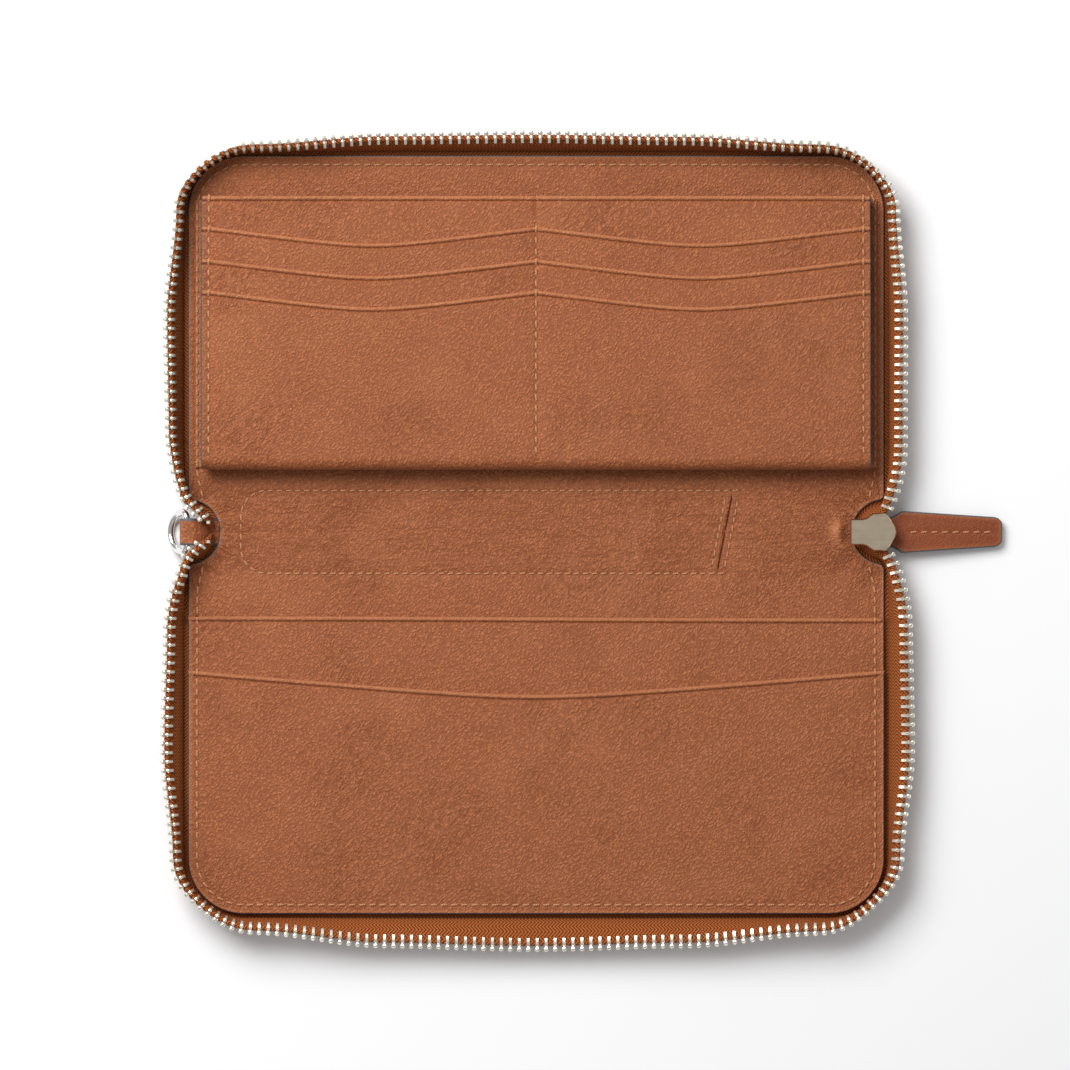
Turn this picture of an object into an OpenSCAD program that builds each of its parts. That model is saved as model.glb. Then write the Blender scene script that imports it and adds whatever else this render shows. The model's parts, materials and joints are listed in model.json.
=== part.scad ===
// Zip-around wallet, lying open on its outer leather.
// X runs along the spine, +Y points at the front cover, -Y at the back cover, +Z is up.
// The origin is the middle of the spine, on the underside of the outer leather.

/* [Covers] */
// Width of the lining, along the spine
lining_w = 188; // [170:1:210]
// Height of the lining over both open covers
lining_h = 205; // [190:1:230]
// Corner radius of the lining
corner_r = 15; // [12:1:22]
// How far the outer leather and the zip seam stand outside the lining
shell_margin = 1.6; // [1:0.1:3]
// Thickness of the closed wallet, outside to outside
closed_t = 26; // [25.6:0.2:30]
// Radius of the notch at each end of the spine
notch_r = 9; // [8.6:0.1:9.6]

/* [Leather and board] */
// Outer leather
shell_t = 1.2; // [1:0.1:1.3]
// Cover board, which is also the room for the zip seam
board_t = 0.6; // [0.5:0.05:0.7]
// Lining leather
lining_t = 0.9; // [0.7:0.05:0.9]
// Pocket leather
pocket_t = 0.7; // [0.5:0.05:0.8]
// Card slot leather
slot_t = 0.6; // [0.5:0.05:0.6]

/* [Zip] */
// Height of the tape wall, from its seam to its beaded edge
tape_wall = 8.6; // [7.5:0.1:9]
// Tape thickness
tape_t = 0.5; // [0.4:0.05:0.6]
// Spacing of the teeth along one tape
tooth_pitch = 2.42; // [2:0.02:3]
// Lean of the tape at the corners, outwards from upright, in degrees
corner_lean = 1; // [-5:1:8]

/* [Card leaf] */
// Width of the leaf that holds the cards
leaf_w = 180; // [170:1:182]
// Where its folded edge lies, from the middle of the spine
leaf_near = 16.8; // [15:0.2:20]
// Where its top edge lies
leaf_far = 90.5; // [86:0.5:94]
// Room for bills inside the leaf
leaf_room = 3; // [2:0.1:3.6]

/* [Ring and pull] */
// Wire radius of the strap ring
ring_wire = 0.95; // [0.8:0.05:1.1]
// Radius of the ring's round side, to the middle of the wire
ring_r = 5.2; // [4.9:0.1:5.6]
// Length of the leather pull
pull_len = 31; // [26:0.5:34]

/* [Hidden] */

round_fn = 96;
small_fn = 32;
touch = 0.05;             // how far joined shapes run into each other

// Two fold lines give a quarter turn each: the soft spine then lies in a half circle
fold_y = PI * closed_t / 8;
fold_z = closed_t / 2 * (1 - PI / 4);
fold_gap = 0.15;

half_w = lining_w / 2;
reach = lining_h / 2;
shell_half_w = half_w + shell_margin;
shell_reach = reach + shell_margin;
shell_r = corner_r + shell_margin;
seam_out = 1.2;           // the zip seam's distance outside the lining
seam_half_w = half_w + seam_out;
seam_reach = reach + seam_out;
seam_r = corner_r + seam_out;

// Levels of the stack, from the table up
board_z = shell_t;
lining_z = board_z + board_t;
lining_top = lining_z + lining_t;
rear_pocket_top = lining_top + pocket_t;

// ---------- outlines ----------

// One cover seen from above, from the line y = start to its far edge
module cover_outline(hw, far, r, start) {
    translate([-hw, start]) square([2 * hw, far - r - start]);
    translate([r - hw, start]) square([2 * (hw - r), far - start]);
    for (side = [-1, 1]) translate([side * (hw - r), far - r]) circle(r, $fn = round_fn);
}

// The strip between the fold lines, with a round notch at each end
module spine_outline(hw, r) {
    difference() {
        square([2 * hw, 2 * (fold_y - fold_gap)], center = true);
        for (side = [-1, 1]) translate([side * half_w, 0]) circle(r, $fn = round_fn);
    }
}

module plate(z, t) {
    translate([0, 0, z]) linear_extrude(t) children();
}

// Everything is drawn for the front cover, and mirrored for the back one
module on_back() {
    mirror([0, 1, 0]) children();
}

// ---------- the edge of a cover, as one path ----------

edge_start = 9;           // where the path begins, from the middle of the spine
wall_start = 17.4;        // where the tape wall begins, clear of the closed spine

function side_len(far, r) = far - r - edge_start;
function edge_len(hw, far, r) = 2 * side_len(far, r) + PI * r + 2 * (hw - r);

// [x, y, direction the edge faces] at the distance s along the edge, from the right end of the spine
function edge_at(s, hw, far, r) =
    let (side = side_len(far, r), arc = PI * r / 2, top = 2 * (hw - r), a = 90 / arc)
    s < side ? [hw, edge_start + s, 0] :
    s < side + arc ? let (q = (s - side) * a) [hw - r + r * cos(q), far - r + r * sin(q), q] :
    s < side + arc + top ? [hw - r - (s - side - arc), far, 90] :
    s < side + 2 * arc + top ?
        let (q = 90 + (s - side - arc - top) * a) [r - hw + r * cos(q), far - r + r * sin(q), q] :
    [-hw, far - r - (s - side - 2 * arc - top), 180];

seam_side = side_len(seam_reach, seam_r);
seam_arc = PI * seam_r / 2;
seam_len = edge_len(seam_half_w, seam_reach, seam_r);
function seam_at(s) = edge_at(s, seam_half_w, seam_reach, seam_r);

// Lean of the tape wall. It is greatest in the middle of each side and goes back to the corner's lean
front_leans = [22, 25, 26];   // right side, far edge, left side
back_leans = [38, 54, 33];
function bump(u) = 1 - pow(u, 4);
function lean_at(s, leans) =
    let (knee = seam_side + seam_arc / 2, mid = seam_len / 2)
    s < knee ? corner_lean + (leans[0] - corner_lean) * bump(2 * s / knee - 1) :
    s > seam_len - knee ? corner_lean + (leans[2] - corner_lean) * bump(2 * (seam_len - s) / knee - 1) :
    corner_lean + (leans[1] - corner_lean) * bump((s - mid) / (mid - knee));

// ---------- zip ----------

margin_in = 7;            // flat part of the tape, held between the outer leather and the lining
tape_floor = board_z + touch;
wall_first = wall_start - edge_start;
bead_r = 0.55;

// Section of the tape at s: the flat margin, then the wall, as six points in the row frame
function tape_ring(s, leans) =
    let (
        p = seam_at(s), l = lean_at(s, leans), out = [cos(p[2]), sin(p[2])],
        up = [sin(l), cos(l)], side = [cos(l), -sin(l)],
        flat = [
            [-margin_in, 0], [0, 0], up * tape_wall + [0, tape_t / 2],
            up * tape_wall + [0, tape_t / 2] - side * tape_t, [-tape_t, tape_t], [-margin_in, tape_t]
        ]
    )
    [for (q = flat) [p[0] + out[0] * q[0], p[1] + out[1] * q[0], tape_floor + q[1]]];

// Rings of points, one after the other, closed at both ends
module loft(rings) {
    n = len(rings[0]);
    last = len(rings) - 1;
    polyhedron(
        points = [for (ring = rings) for (p = ring) p],
        faces = concat(
            [[for (i = [0 : n - 1]) i]],
            [for (k = [0 : last - 1]) for (i = [0 : n - 1])
                [k * n + i, (k + 1) * n + i, (k + 1) * n + (i + 1) % n, k * n + (i + 1) % n]],
            [[for (i = [n - 1 : -1 : 0]) last * n + i]]
        )
    );
}

module zip_tape(leans) {
    steps = 84;
    run = seam_len - 2 * wall_first;
    color("sienna") loft([for (k = [0 : steps]) tape_ring(wall_first + run * k / steps, leans)]);
}

tooth_t = 1.1;
tooth_out = 2.1;          // how far a tooth stands out past the tape
// One tooth. Its jaws hold the bead of the tape, and its head points along +Z
module tooth() {
    rotate([90, 0, 0]) linear_extrude(tooth_t, center = true)
        polygon([[-1.1, -1.3], [1.1, -1.3], [1.1, 0.5], [0.75, 1], [0.75, tooth_out], [-0.75, tooth_out],
                 [-0.75, 1], [-1.1, 0.5]]);
}

module zip_teeth(leans) {
    count = floor((seam_len - 2 * wall_first) / tooth_pitch);
    first = (seam_len - (count - 1) * tooth_pitch) / 2;
    color("lightgoldenrodyellow") for (k = [0 : count - 1]) {
        s = first + k * tooth_pitch;
        p = seam_at(s);
        translate([p[0], p[1], tape_floor]) rotate([0, 0, p[2]]) rotate([0, lean_at(s, leans), 0])
            translate([-tape_t / 2, 0, tape_wall]) tooth();
    }
}

// ---------- thread ----------

stitch_pitch = 2.7;
stitch_len = 2.1;
stitch_w = 0.45;
stitch_h = 0.25;

module stitch(x, y, z, along) {
    translate([x, y, z + stitch_h / 2]) rotate([0, 0, along])
        cube([stitch_len, stitch_w, stitch_h], center = true);
}

// A straight seam from a to b at the height z
module seam_line(a, b, z) {
    d = b - a;
    count = max(1, floor(norm(d) / stitch_pitch));
    for (k = [0 : count - 1]) {
        p = a + d * (k + 0.5) / count;
        stitch(p[0], p[1], z, atan2(d[1], d[0]));
    }
}

stitch_in = 1.9;          // distance of the edge seam from the leather's edge
step_y = 23;              // mouth of the rear pocket of the back cover
v_side = 37;              // mouth of the front pocket, at its sides
v_mid = 43.8;             // and in the middle
function back_top(x, y) =
    y < step_y ? lining_top :
    y < v_mid - (v_mid - v_side) * abs(x) / half_w ? rear_pocket_top : rear_pocket_top + pocket_t;

bill_y = 16;              // lower edge of the bill pocket
bill_far = 89.6;          // its mouth
bill_half_w = 92.6;
bill_top = lining_top + pocket_t;
function front_top(x, y) = y > bill_y && y < bill_far && abs(x) < bill_half_w ? bill_top : lining_top;

// Edge seam of a cover, lying on whichever layer is on top
module edge_thread(is_back) {
    hw = half_w - stitch_in;
    far = reach - stitch_in;
    r = corner_r - stitch_in;
    total = edge_len(hw, far, r);
    first = fold_y + 2 - edge_start;
    count = floor((total - 2 * first) / stitch_pitch);
    for (k = [0 : count]) {
        p = edge_at(first + (total - 2 * first) * k / count, hw, far, r);
        levels = [for (d = [-stitch_len / 2, stitch_len / 2])
            is_back ? back_top(p[0], p[1] + d) : front_top(p[0], p[1] + d)];
        stitch(p[0], p[1], max(levels), p[2] + 90);
    }
}

// ---------- covers ----------

module shell_half() {
    color("sandybrown") plate(0, shell_t)
        cover_outline(shell_half_w, shell_reach, shell_r, fold_y + fold_gap);
}

board_in = 8.5;
board_start = 21;
module board_half() {
    color("tan") plate(board_z, board_t)
        cover_outline(half_w - board_in, reach - board_in, corner_r - board_in / 2, board_start);
}

module lining_half() {
    color("peru") plate(lining_z, lining_t) cover_outline(half_w, reach, corner_r, fold_y + fold_gap);
}

module back_outer_leather() { on_back() shell_half(); }
module back_board() { on_back() board_half(); }
module back_lining() { on_back() lining_half(); }

module back_rear_pocket() {
    color("peru") on_back() plate(lining_top, pocket_t) cover_outline(half_w, reach, corner_r, step_y);
}

module back_front_pocket() {
    color("peru") on_back() plate(rear_pocket_top, pocket_t) intersection() {
        cover_outline(half_w, reach, corner_r, v_side);
        polygon([[-half_w - 1, v_side], [0, v_mid], [half_w + 1, v_side], [half_w + 1, reach + 1],
                 [-half_w - 1, reach + 1]]);
    }
}

module back_zip_tape() { on_back() zip_tape(back_leans); }
module back_zip_teeth() { on_back() zip_teeth(back_leans); }

pen_left = -79.7;
pen_right_far = 55.4;     // the pen pocket's right end, on the front cover's side
pen_right_near = 51;
pen_half = 11.3;
pen_r = 7;

// Stitches first to last round a corner of the pen pocket, counted from its long side
pen_turns = 4;
module pen_corner(end, first, last) {
    for (k = [first : last]) {
        a = 90 + 90 * (k - 0.5) / pen_turns;
        stitch(pen_left + pen_r + pen_r * cos(a), end * (pen_half - pen_r + pen_r * sin(a)),
               lining_top, end * (a + 90));
    }
}

module back_thread() {
    color("wheat") {
        on_back() edge_thread(true);
        pen_corner(-1, 1, 1);
        seam_line([pen_left + pen_r, -pen_half], [pen_right_near, -pen_half], lining_top);
    }
}

module front_outer_leather() { shell_half(); }
module front_board() { board_half(); }
module front_lining() { lining_half(); }

module front_bill_pocket() {
    color("peru") plate(lining_top, pocket_t) translate([-bill_half_w, bill_y])
        square([2 * bill_half_w, bill_far - bill_y]);
}

// Two folded strips that let the leaf stand off the bill pocket
gusset_w = 10;
gusset_t = 0.4;
module front_gussets() {
    color("saddlebrown") for (side = [-1, 1]) translate([side * (leaf_w / 2 - 1 - gusset_w / 2), 0, 0])
        difference() {
            translate([-gusset_w / 2, leaf_near + 5, bill_top])
                cube([gusset_w, bill_far - leaf_near - 6, 2 * gusset_t]);
            translate([-gusset_w / 2 - side * 1, leaf_near + 4, bill_top + gusset_t - 0.05])
                cube([gusset_w, bill_far - leaf_near, 0.1]);
        }
}

module front_zip_tape() { zip_tape(front_leans); }
module front_zip_teeth() { zip_teeth(front_leans); }

module front_thread() {
    color("wheat") {
        edge_thread(false);
        pen_corner(1, 1, 1);
        seam_line([pen_left + pen_r, pen_half], [pen_right_far, pen_half], lining_top);
    }
}

// ---------- spine ----------

bar_x = -94.3;            // the strap ring's straight bar
bar_z = 5.7;
tab_w = 7.2;              // the leather tab that holds it
tab_end_x = -82;

module spine_outer_leather() {
    color("sandybrown") plate(0, shell_t) spine_outline(shell_half_w, notch_r);
}

slit_far = [52.8, 8.9];
slit_near = [49.2, -9.7];
slit_w = 0.7;
slit_len = norm(slit_far - slit_near);
slit_turn = atan2(slit_far[1] - slit_near[1], slit_far[0] - slit_near[0]);
slit_mid = (slit_far + slit_near) / 2;

module spine_lining() {
    color("peru") difference() {
        plate(lining_z, lining_t) spine_outline(half_w, notch_r - 0.3);
        translate([slit_mid[0], slit_mid[1], lining_z + lining_t / 2]) rotate([0, 0, slit_turn])
            cube([slit_len, slit_w, 2 * lining_t], center = true);
        translate([stop_x, 0, lining_z]) cube([stop_l, stop_w, 2 * (stop_top - lining_z)], center = true);
    }
}

// The hidden pocket behind the slit
module pen_pocket_bag() {
    color("burlywood") plate(board_z + touch, board_t - 2 * touch) intersection() {
        square([300, 2 * (fold_y - fold_gap)], center = true);
        translate([pen_left, -pen_half]) square([pen_right_far - pen_left + 6, 2 * pen_half]);
    }
}

module pen_pocket_thread() {
    slit_dir = (slit_far - slit_near) / slit_len;
    slit_side = [-slit_dir[1], slit_dir[0]];
    color("wheat") {
        seam_line([pen_left, pen_r - pen_half], [pen_left, pen_half - pen_r], lining_top);
        for (end = [-1, 1]) pen_corner(end, 3, pen_turns);
        for (side = [-1.4, 1.4])
            seam_line(slit_near + slit_side * side, slit_far + slit_side * side, lining_top);
    }
}

// A wall of tape along a notch, leaning over it. Its flange is held under the lining
end_flange_r = notch_r + 0.9;
end_wall_top = 8.6;
module end_wall(from, to) {
    rotate([0, 0, from]) rotate_extrude(angle = to - from, $fn = round_fn)
        polygon([[end_flange_r, tape_floor], [notch_r - 0.8, tape_floor], [notch_r - 2.4, end_wall_top],
                 [notch_r - 1.9, end_wall_top + 0.1], [notch_r - 0.4, tape_floor + tape_t],
                 [end_flange_r, tape_floor + tape_t]]);
}

module left_end_tape() {
    color("sienna") difference() {
        translate([-half_w, 0, 0]) end_wall(-75, 75);
        translate([tab_end_x - 1, -tab_w / 2 - 0.1, 0]) mirror([1, 0, 0])
            cube([8, tab_w + 0.2, lining_z + 0.05]);
    }
}

module right_end_tape() {
    color("sienna") translate([half_w, 0, 0]) {
        end_wall(104, 120);
        mirror([0, 1, 0]) end_wall(104, 120);
    }
}

end_tooth_z = 6.8;
// Teeth from a to b, in a straight row
module end_teeth(a, b, count) {
    d = b - a;
    for (k = [0 : count - 1]) {
        p = a + d * k / max(1, count - 1);
        translate([p[0], p[1], end_tooth_z]) rotate([0, 0, atan2(d[1], d[0]) + 90]) tooth();
    }
}

module left_end_teeth() {
    color("lightgoldenrodyellow") for (end = [-1, 1])
        end_teeth([-94.2, end * 8.5], [-90.4, end * 5], 4);
}

module right_end_teeth() {
    color("lightgoldenrodyellow") for (end = [-1, 1]) end_teeth([94.3, end * 8.6], [93.4, end * 6.6], 2);
}

module top_stops() {
    color("lightgoldenrodyellow") for (end = [-1, 1]) translate([-88.3, end * 2.6, 8.2])
        cube([1.5, 1.2, 1.8], center = true);
}

// The closed end of the zip, sewn in under the lining
stop_x = 82;
stop_l = 1.6;
stop_w = 6.4;
stop_top = 2.2;
module tail_tape() {
    color("sienna") translate([78, -2.8, board_z + 0.25]) cube([half_w - notch_r - 78, 5.6, 0.25]);
}

module bottom_stop() {
    color("lightgoldenrodyellow") difference() {
        translate([stop_x - stop_l / 2, -stop_w / 2, board_z]) cube([stop_l, stop_w, stop_top - board_z]);
        translate([stop_x - stop_l, -2.8, board_z + 0.25]) cube([2 * stop_l, 5.6, 0.25]);
    }
}

// ---------- strap ring and its tab ----------

ring_drop = 48;           // how far the ring hangs below level, in degrees
ring_arm = 1;             // straight length between the bar and the round side

module ring_tab() {
    loop_r = ring_wire + 0.1;
    color("sienna") rotate([90, 0, 0]) linear_extrude(tab_w, center = true) difference() {
        union() {
            translate([bar_x, bar_z]) circle(loop_r + 0.95, $fn = 64);
            polygon([[bar_x + 0.3, bar_z + 1.95], [bar_x + 0.3, bar_z - 1.95], [-90.6, 3.1],
                     [-86.4, board_z + touch], [tab_end_x, board_z + touch], [tab_end_x, lining_z - touch],
                     [-86.4, lining_z - touch], [-88.4, 2.6], [-90.4, 6.4], [-92.4, 7.5]]);
        }
        translate([bar_x, bar_z]) circle(loop_r, $fn = 64);
    }
}

module strap_ring() {
    color("silver") translate([bar_x, 0, bar_z]) rotate([0, -ring_drop, 0]) {
        rotate([90, 0, 0]) cylinder(r = ring_wire, h = 2 * ring_r, center = true, $fn = small_fn);
        for (end = [-1, 1]) translate([0, end * ring_r, 0]) {
            sphere(ring_wire, $fn = small_fn);
            rotate([0, -90, 0]) cylinder(r = ring_wire, h = ring_arm, $fn = small_fn);
        }
        translate([-ring_arm, 0, 0]) rotate([0, 0, 90]) rotate_extrude(angle = 180, $fn = 64)
            translate([ring_r, 0]) circle(ring_wire, $fn = small_fn);
    }
}

// ---------- card leaf ----------

leaf_z = bill_top + 2 * gusset_t + 0.2;
leaf_in_z = leaf_z + pocket_t;
panel_z = leaf_in_z + leaf_room;
slot_z = panel_z + pocket_t;
wrap_z = slot_z + 2 * slot_t;
leaf_top = wrap_z + pocket_t;
nose_r = (leaf_top - leaf_z) / 2;
nose_y = leaf_near + nose_r;
leaf_half = leaf_w / 2;
column = leaf_half - 2;   // width of one column of card slots, between seams

// Mouth of a card slot at x: high at the seams, with a soft dip in the middle of each column
slot_dip = 4.6;
slot_soft = 0.25;
function mouth(x, top) =
    let (
        u = abs(min(abs(x), column) - column / 2) / (column / 2),
        rise = (sqrt(u * u + slot_soft * slot_soft) - slot_soft) / (sqrt(1 + slot_soft * slot_soft) - slot_soft)
    )
    top - slot_dip * (1 - rise);

// A slot layer from the line y = low up to its mouth
module slot_outline(low, top) {
    steps = 36;
    polygon(concat(
        [[leaf_half, low], [-leaf_half, low]],
        [for (k = [0 : steps]) let (x = -leaf_half + leaf_w * k / steps) [x, mouth(x, top)]]
    ));
}

slot_tops = [82.2, 73.4, 65];     // rear, middle and front mouths, at the seams

// One piece of leather: the back of the leaf, the folded edge and the front card slot
module leaf_wrap() {
    color("peru") {
        translate([-leaf_half, nose_y - touch, leaf_z]) cube([leaf_w, leaf_far - nose_y, pocket_t]);
        plate(wrap_z, pocket_t) slot_outline(nose_y - touch, slot_tops[2]);
        translate([0, nose_y, leaf_z + nose_r]) rotate([0, 90, 0]) difference() {
            cylinder(r = nose_r, h = leaf_w, center = true, $fn = 64);
            cylinder(r = nose_r - pocket_t, h = leaf_w + 1, center = true, $fn = 64);
            translate([-nose_r - 1, 0, -leaf_w]) cube([2 * nose_r + 2, nose_r + 1, 2 * leaf_w]);
        }
        for (side = [-1, 1]) translate([side * (leaf_half - 0.9) - 0.9, nose_y, leaf_in_z - touch])
            cube([1.8, leaf_far - nose_y - touch, leaf_room + touch]);
    }
}

module leaf_panel() {
    color("peru") translate([-leaf_half, nose_y + 0.6, panel_z])
        cube([leaf_w, leaf_far - nose_y - 0.6, pocket_t]);
}

module card_slot_rear() {
    color("peru") plate(slot_z, slot_t) slot_outline(34, slot_tops[0]);
}

module card_slot_middle() {
    color("peru") plate(slot_z + slot_t, slot_t) slot_outline(26, slot_tops[1]);
}

// The top of the leaf at x, y
function leaf_level(x, y) =
    y < mouth(x, slot_tops[2]) ? leaf_top :
    y < mouth(x, slot_tops[1]) ? wrap_z :
    y < mouth(x, slot_tops[0]) ? slot_z + slot_t : slot_z;

// Stitches up the leaf at x, each on the layer below it
module leaf_seam(x, far) {
    low = nose_y + 1;
    count = floor((far - low) / stitch_pitch);
    for (k = [0 : count]) {
        y = low + (far - low) * k / count;
        z = min(leaf_level(x, y - stitch_len / 2), leaf_level(x, y + stitch_len / 2));
        clear = leaf_level(x, y - stitch_len / 2) == leaf_level(x, y + stitch_len / 2);
        if (clear) stitch(x, y, z, 90);
    }
}

module leaf_side_thread() {
    color("wheat") for (side = [-1, 1]) leaf_seam(side * column, leaf_far - 1.5);
}

module leaf_divider_thread() {
    color("wheat") leaf_seam(0, slot_tops[0] - 1.2);
}

// ---------- slider and pull ----------

slide_x = 84.5;           // the slider's narrow end
slide_z = 4.7;
slide_plate = 1.2;
slide_h = 4.7;
slide_outline = [
    [0, -3.5], [3.6, -3.5], [4.9, -3.9], [6.1, -5.1], [9.8, -5.1], [12, -1.8], [12.7, 0],
    [12, 1.8], [9.8, 5.1], [6.1, 5.1], [4.9, 3.9], [3.6, 3.5], [0, 3.5]
];

module slider_body() {
    color("lightgray") translate([slide_x, 0, slide_z]) {
        for (z = [0, slide_h - slide_plate]) translate([0, 0, z]) linear_extrude(slide_plate)
            polygon(slide_outline);
        translate([9.9, 0, slide_plate - touch]) linear_extrude(slide_h - 2 * slide_plate + 2 * touch)
            polygon([[-2.2, 0], [0, -1.1], [1.6, 0], [0, 1.1]]);
        for (end = [-1, 1]) for (z = [slide_plate - touch, slide_h - slide_plate - 0.7])
            translate([0, end * 3.1 - 0.4, z]) cube([3.6, 0.8, 0.75]);
    }
}

bridge_drop = 3;          // height of the bridge below the slider
bridge_len = 7.4;
bridge_x = slide_x + 2;
module slider_bridge() {
    color("lightgray") translate([bridge_x, 0, slide_z]) rotate([90, 0, 0])
        linear_extrude(2.4, center = true) difference() {
            polygon([[0, 0], [0, -2], [1, -bridge_drop], [bridge_len - 1, -bridge_drop],
                     [bridge_len, -2], [bridge_len, 0]]);
            polygon([[1.2, 1], [1.2, -1.9], [bridge_len - 1.2, -1.9], [bridge_len - 1.2, 1]]);
        }
}

link_wire = 0.7;
pivot_x = bridge_x + bridge_len - 2.1;
pivot_z = slide_z - 0.95;
pull_drop = 4.1;          // how far the pull slopes down to the table, in degrees
link_len = 6.4;
link_half = 3;
pull_ply = 1.1;

module pull_frame() {
    translate([pivot_x, 0, pivot_z]) rotate([0, pull_drop, 0]) children();
}

// A wire frame that hangs in the bridge and carries the leather
module pull_link() {
    color("lightgray") pull_frame() {
        for (x = [0, link_len]) translate([x, 0, 0]) rotate([90, 0, 0])
            cylinder(r = link_wire, h = 2 * link_half, center = true, $fn = small_fn);
        for (end = [-1, 1]) translate([0, end * link_half, 0]) {
            rotate([0, 90, 0]) cylinder(r = link_wire, h = link_len, $fn = small_fn);
            for (x = [0, link_len]) translate([x, 0, 0]) sphere(link_wire, $fn = small_fn);
        }
    }
}

leather_x = 3.1;          // the pull's near end, from its pivot
module pull_outline() {
    translate([leather_x, 0]) polygon([
        [0, -3.9], [1.3, -4.1], [3.6, -5.4], [5, -5.6], [pull_len - 1.4, -3.9], [pull_len, -2.7],
        [pull_len, 2.7], [pull_len - 1.4, 3.9], [5, 5.6], [3.6, 5.4], [1.3, 4.1], [0, 3.9]
    ]);
}

// One ply of the pull. The two plies meet in the middle, and the link's far bar lies between them
module pull_ply_at(z) {
    color("sienna") pull_frame() difference() {
        translate([0, 0, z]) linear_extrude(pull_ply) pull_outline();
        translate([link_len, 0, 0]) rotate([90, 0, 0])
            cylinder(r = link_wire, h = 30, center = true, $fn = small_fn);
        for (end = [-1, 1]) translate([0, end * link_half, 0]) rotate([0, 90, 0])
            cylinder(r = link_wire, h = link_len, $fn = small_fn);
    }
}

module pull_upper_leather() { pull_ply_at(0); }
module pull_lower_leather() { pull_ply_at(-pull_ply); }

module pull_thread() {
    color("wheat") pull_frame() seam_line([leather_x + 5.6, 0], [leather_x + pull_len - 2.6, 0], pull_ply);
}

// ---------- nodes ----------

back_outer_leather();
back_board();
back_lining();
back_rear_pocket();
back_front_pocket();
back_zip_tape();
back_zip_teeth();
back_thread();
spine_outer_leather();
spine_lining();
pen_pocket_bag();
pen_pocket_thread();
ring_tab();
left_end_tape();
left_end_teeth();
top_stops();
right_end_tape();
right_end_teeth();
tail_tape();
bottom_stop();
front_outer_leather();
front_board();
front_lining();
front_bill_pocket();
front_gussets();
front_zip_tape();
front_zip_teeth();
front_thread();
leaf_wrap();
leaf_panel();
card_slot_rear();
card_slot_middle();
leaf_side_thread();
leaf_divider_thread();
slider_body();
slider_bridge();
pull_link();
pull_upper_leather();
pull_lower_leather();
pull_thread();
strap_ring();
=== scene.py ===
import json
import math

import bpy
import numpy as np
from mathutils import Matrix, Vector, noise
from mathutils.geometry import delaunay_2d_cdt


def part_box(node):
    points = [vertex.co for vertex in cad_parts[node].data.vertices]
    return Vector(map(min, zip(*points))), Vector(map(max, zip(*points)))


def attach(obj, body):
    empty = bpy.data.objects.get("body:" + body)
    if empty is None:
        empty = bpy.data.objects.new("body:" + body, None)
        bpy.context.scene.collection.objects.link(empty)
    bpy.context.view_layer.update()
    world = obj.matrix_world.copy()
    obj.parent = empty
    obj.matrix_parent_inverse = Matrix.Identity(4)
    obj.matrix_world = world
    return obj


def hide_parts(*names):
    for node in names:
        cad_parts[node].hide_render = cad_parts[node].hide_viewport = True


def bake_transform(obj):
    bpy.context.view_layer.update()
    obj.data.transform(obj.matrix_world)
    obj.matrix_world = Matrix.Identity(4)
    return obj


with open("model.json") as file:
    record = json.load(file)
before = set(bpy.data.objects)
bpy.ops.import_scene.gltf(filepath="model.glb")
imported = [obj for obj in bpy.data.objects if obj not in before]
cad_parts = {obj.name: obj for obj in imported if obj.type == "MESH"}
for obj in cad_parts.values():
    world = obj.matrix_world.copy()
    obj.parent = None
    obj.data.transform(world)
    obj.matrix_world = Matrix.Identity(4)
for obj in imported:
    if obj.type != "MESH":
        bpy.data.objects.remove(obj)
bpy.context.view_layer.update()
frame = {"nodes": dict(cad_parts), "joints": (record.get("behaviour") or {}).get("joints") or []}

mm = 0.001
print("frame loaded:", len(frame["nodes"]), "CAD pieces")


def nodeBox(name):
    low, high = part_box(name)
    return np.array(low) / mm, np.array(high) / mm


# measures read from the frame, in mm
liningLow, liningHigh = nodeBox("front_lining")
shellLow, shellHigh = nodeBox("front_outer_leather")
backLow, backHigh = nodeBox("back_lining")
rearLow, rearHigh = nodeBox("back_rear_pocket")
vLow, vHigh = nodeBox("back_front_pocket")
billLow, billHigh = nodeBox("front_bill_pocket")
leafLow, leafHigh = nodeBox("leaf_wrap")
panelLow, panelHigh = nodeBox("leaf_panel")
slotLow, slotHigh = nodeBox("card_slot_rear")
midLow, midHigh = nodeBox("card_slot_middle")
pivots = {j["name"]: np.array(j.get("pos_m", (0, 0, 0))) / mm for j in frame["joints"]}
foldY = pivots["front_fold"][1]

wallet = {
    "halfWidth": liningHigh[0],
    "frontReach": liningHigh[1] - 0.8,
    "backReach": -backLow[1] + 0.6,
    "corner": 15.0,
    "notch": 8.6,              # radius of the cut at each end of the spine
    "notchRound": 1.6,         # rounding where the notch meets the side
    "shellMargin": 2.3,        # outer leather outside the lining
    "seamMargin": 1.2,
    "foldFrom": foldY + 9.8,   # 9.8 mm either side of the middle of the spine
    "foldTo": foldY - 9.8,
}
level = {
    "shellTop": shellHigh[2],
    "liningLow": liningLow[2],
    "lining": liningHigh[2],
    "rear": rearHigh[2],
    "front": vHigh[2],
    "bill": billHigh[2],
    "leafBack": leafLow[2],
    "leaf": leafHigh[2],
    "panel": panelHigh[2],
    "slotRear": slotHigh[2],
    "slotMiddle": midHigh[2],
}


# finishes
def newMaterial(name):
    material = bpy.data.materials.new(name)
    material.use_nodes = True
    tree = material.node_tree
    shader = tree.nodes["Principled BSDF"]
    return material, tree, shader


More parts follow.
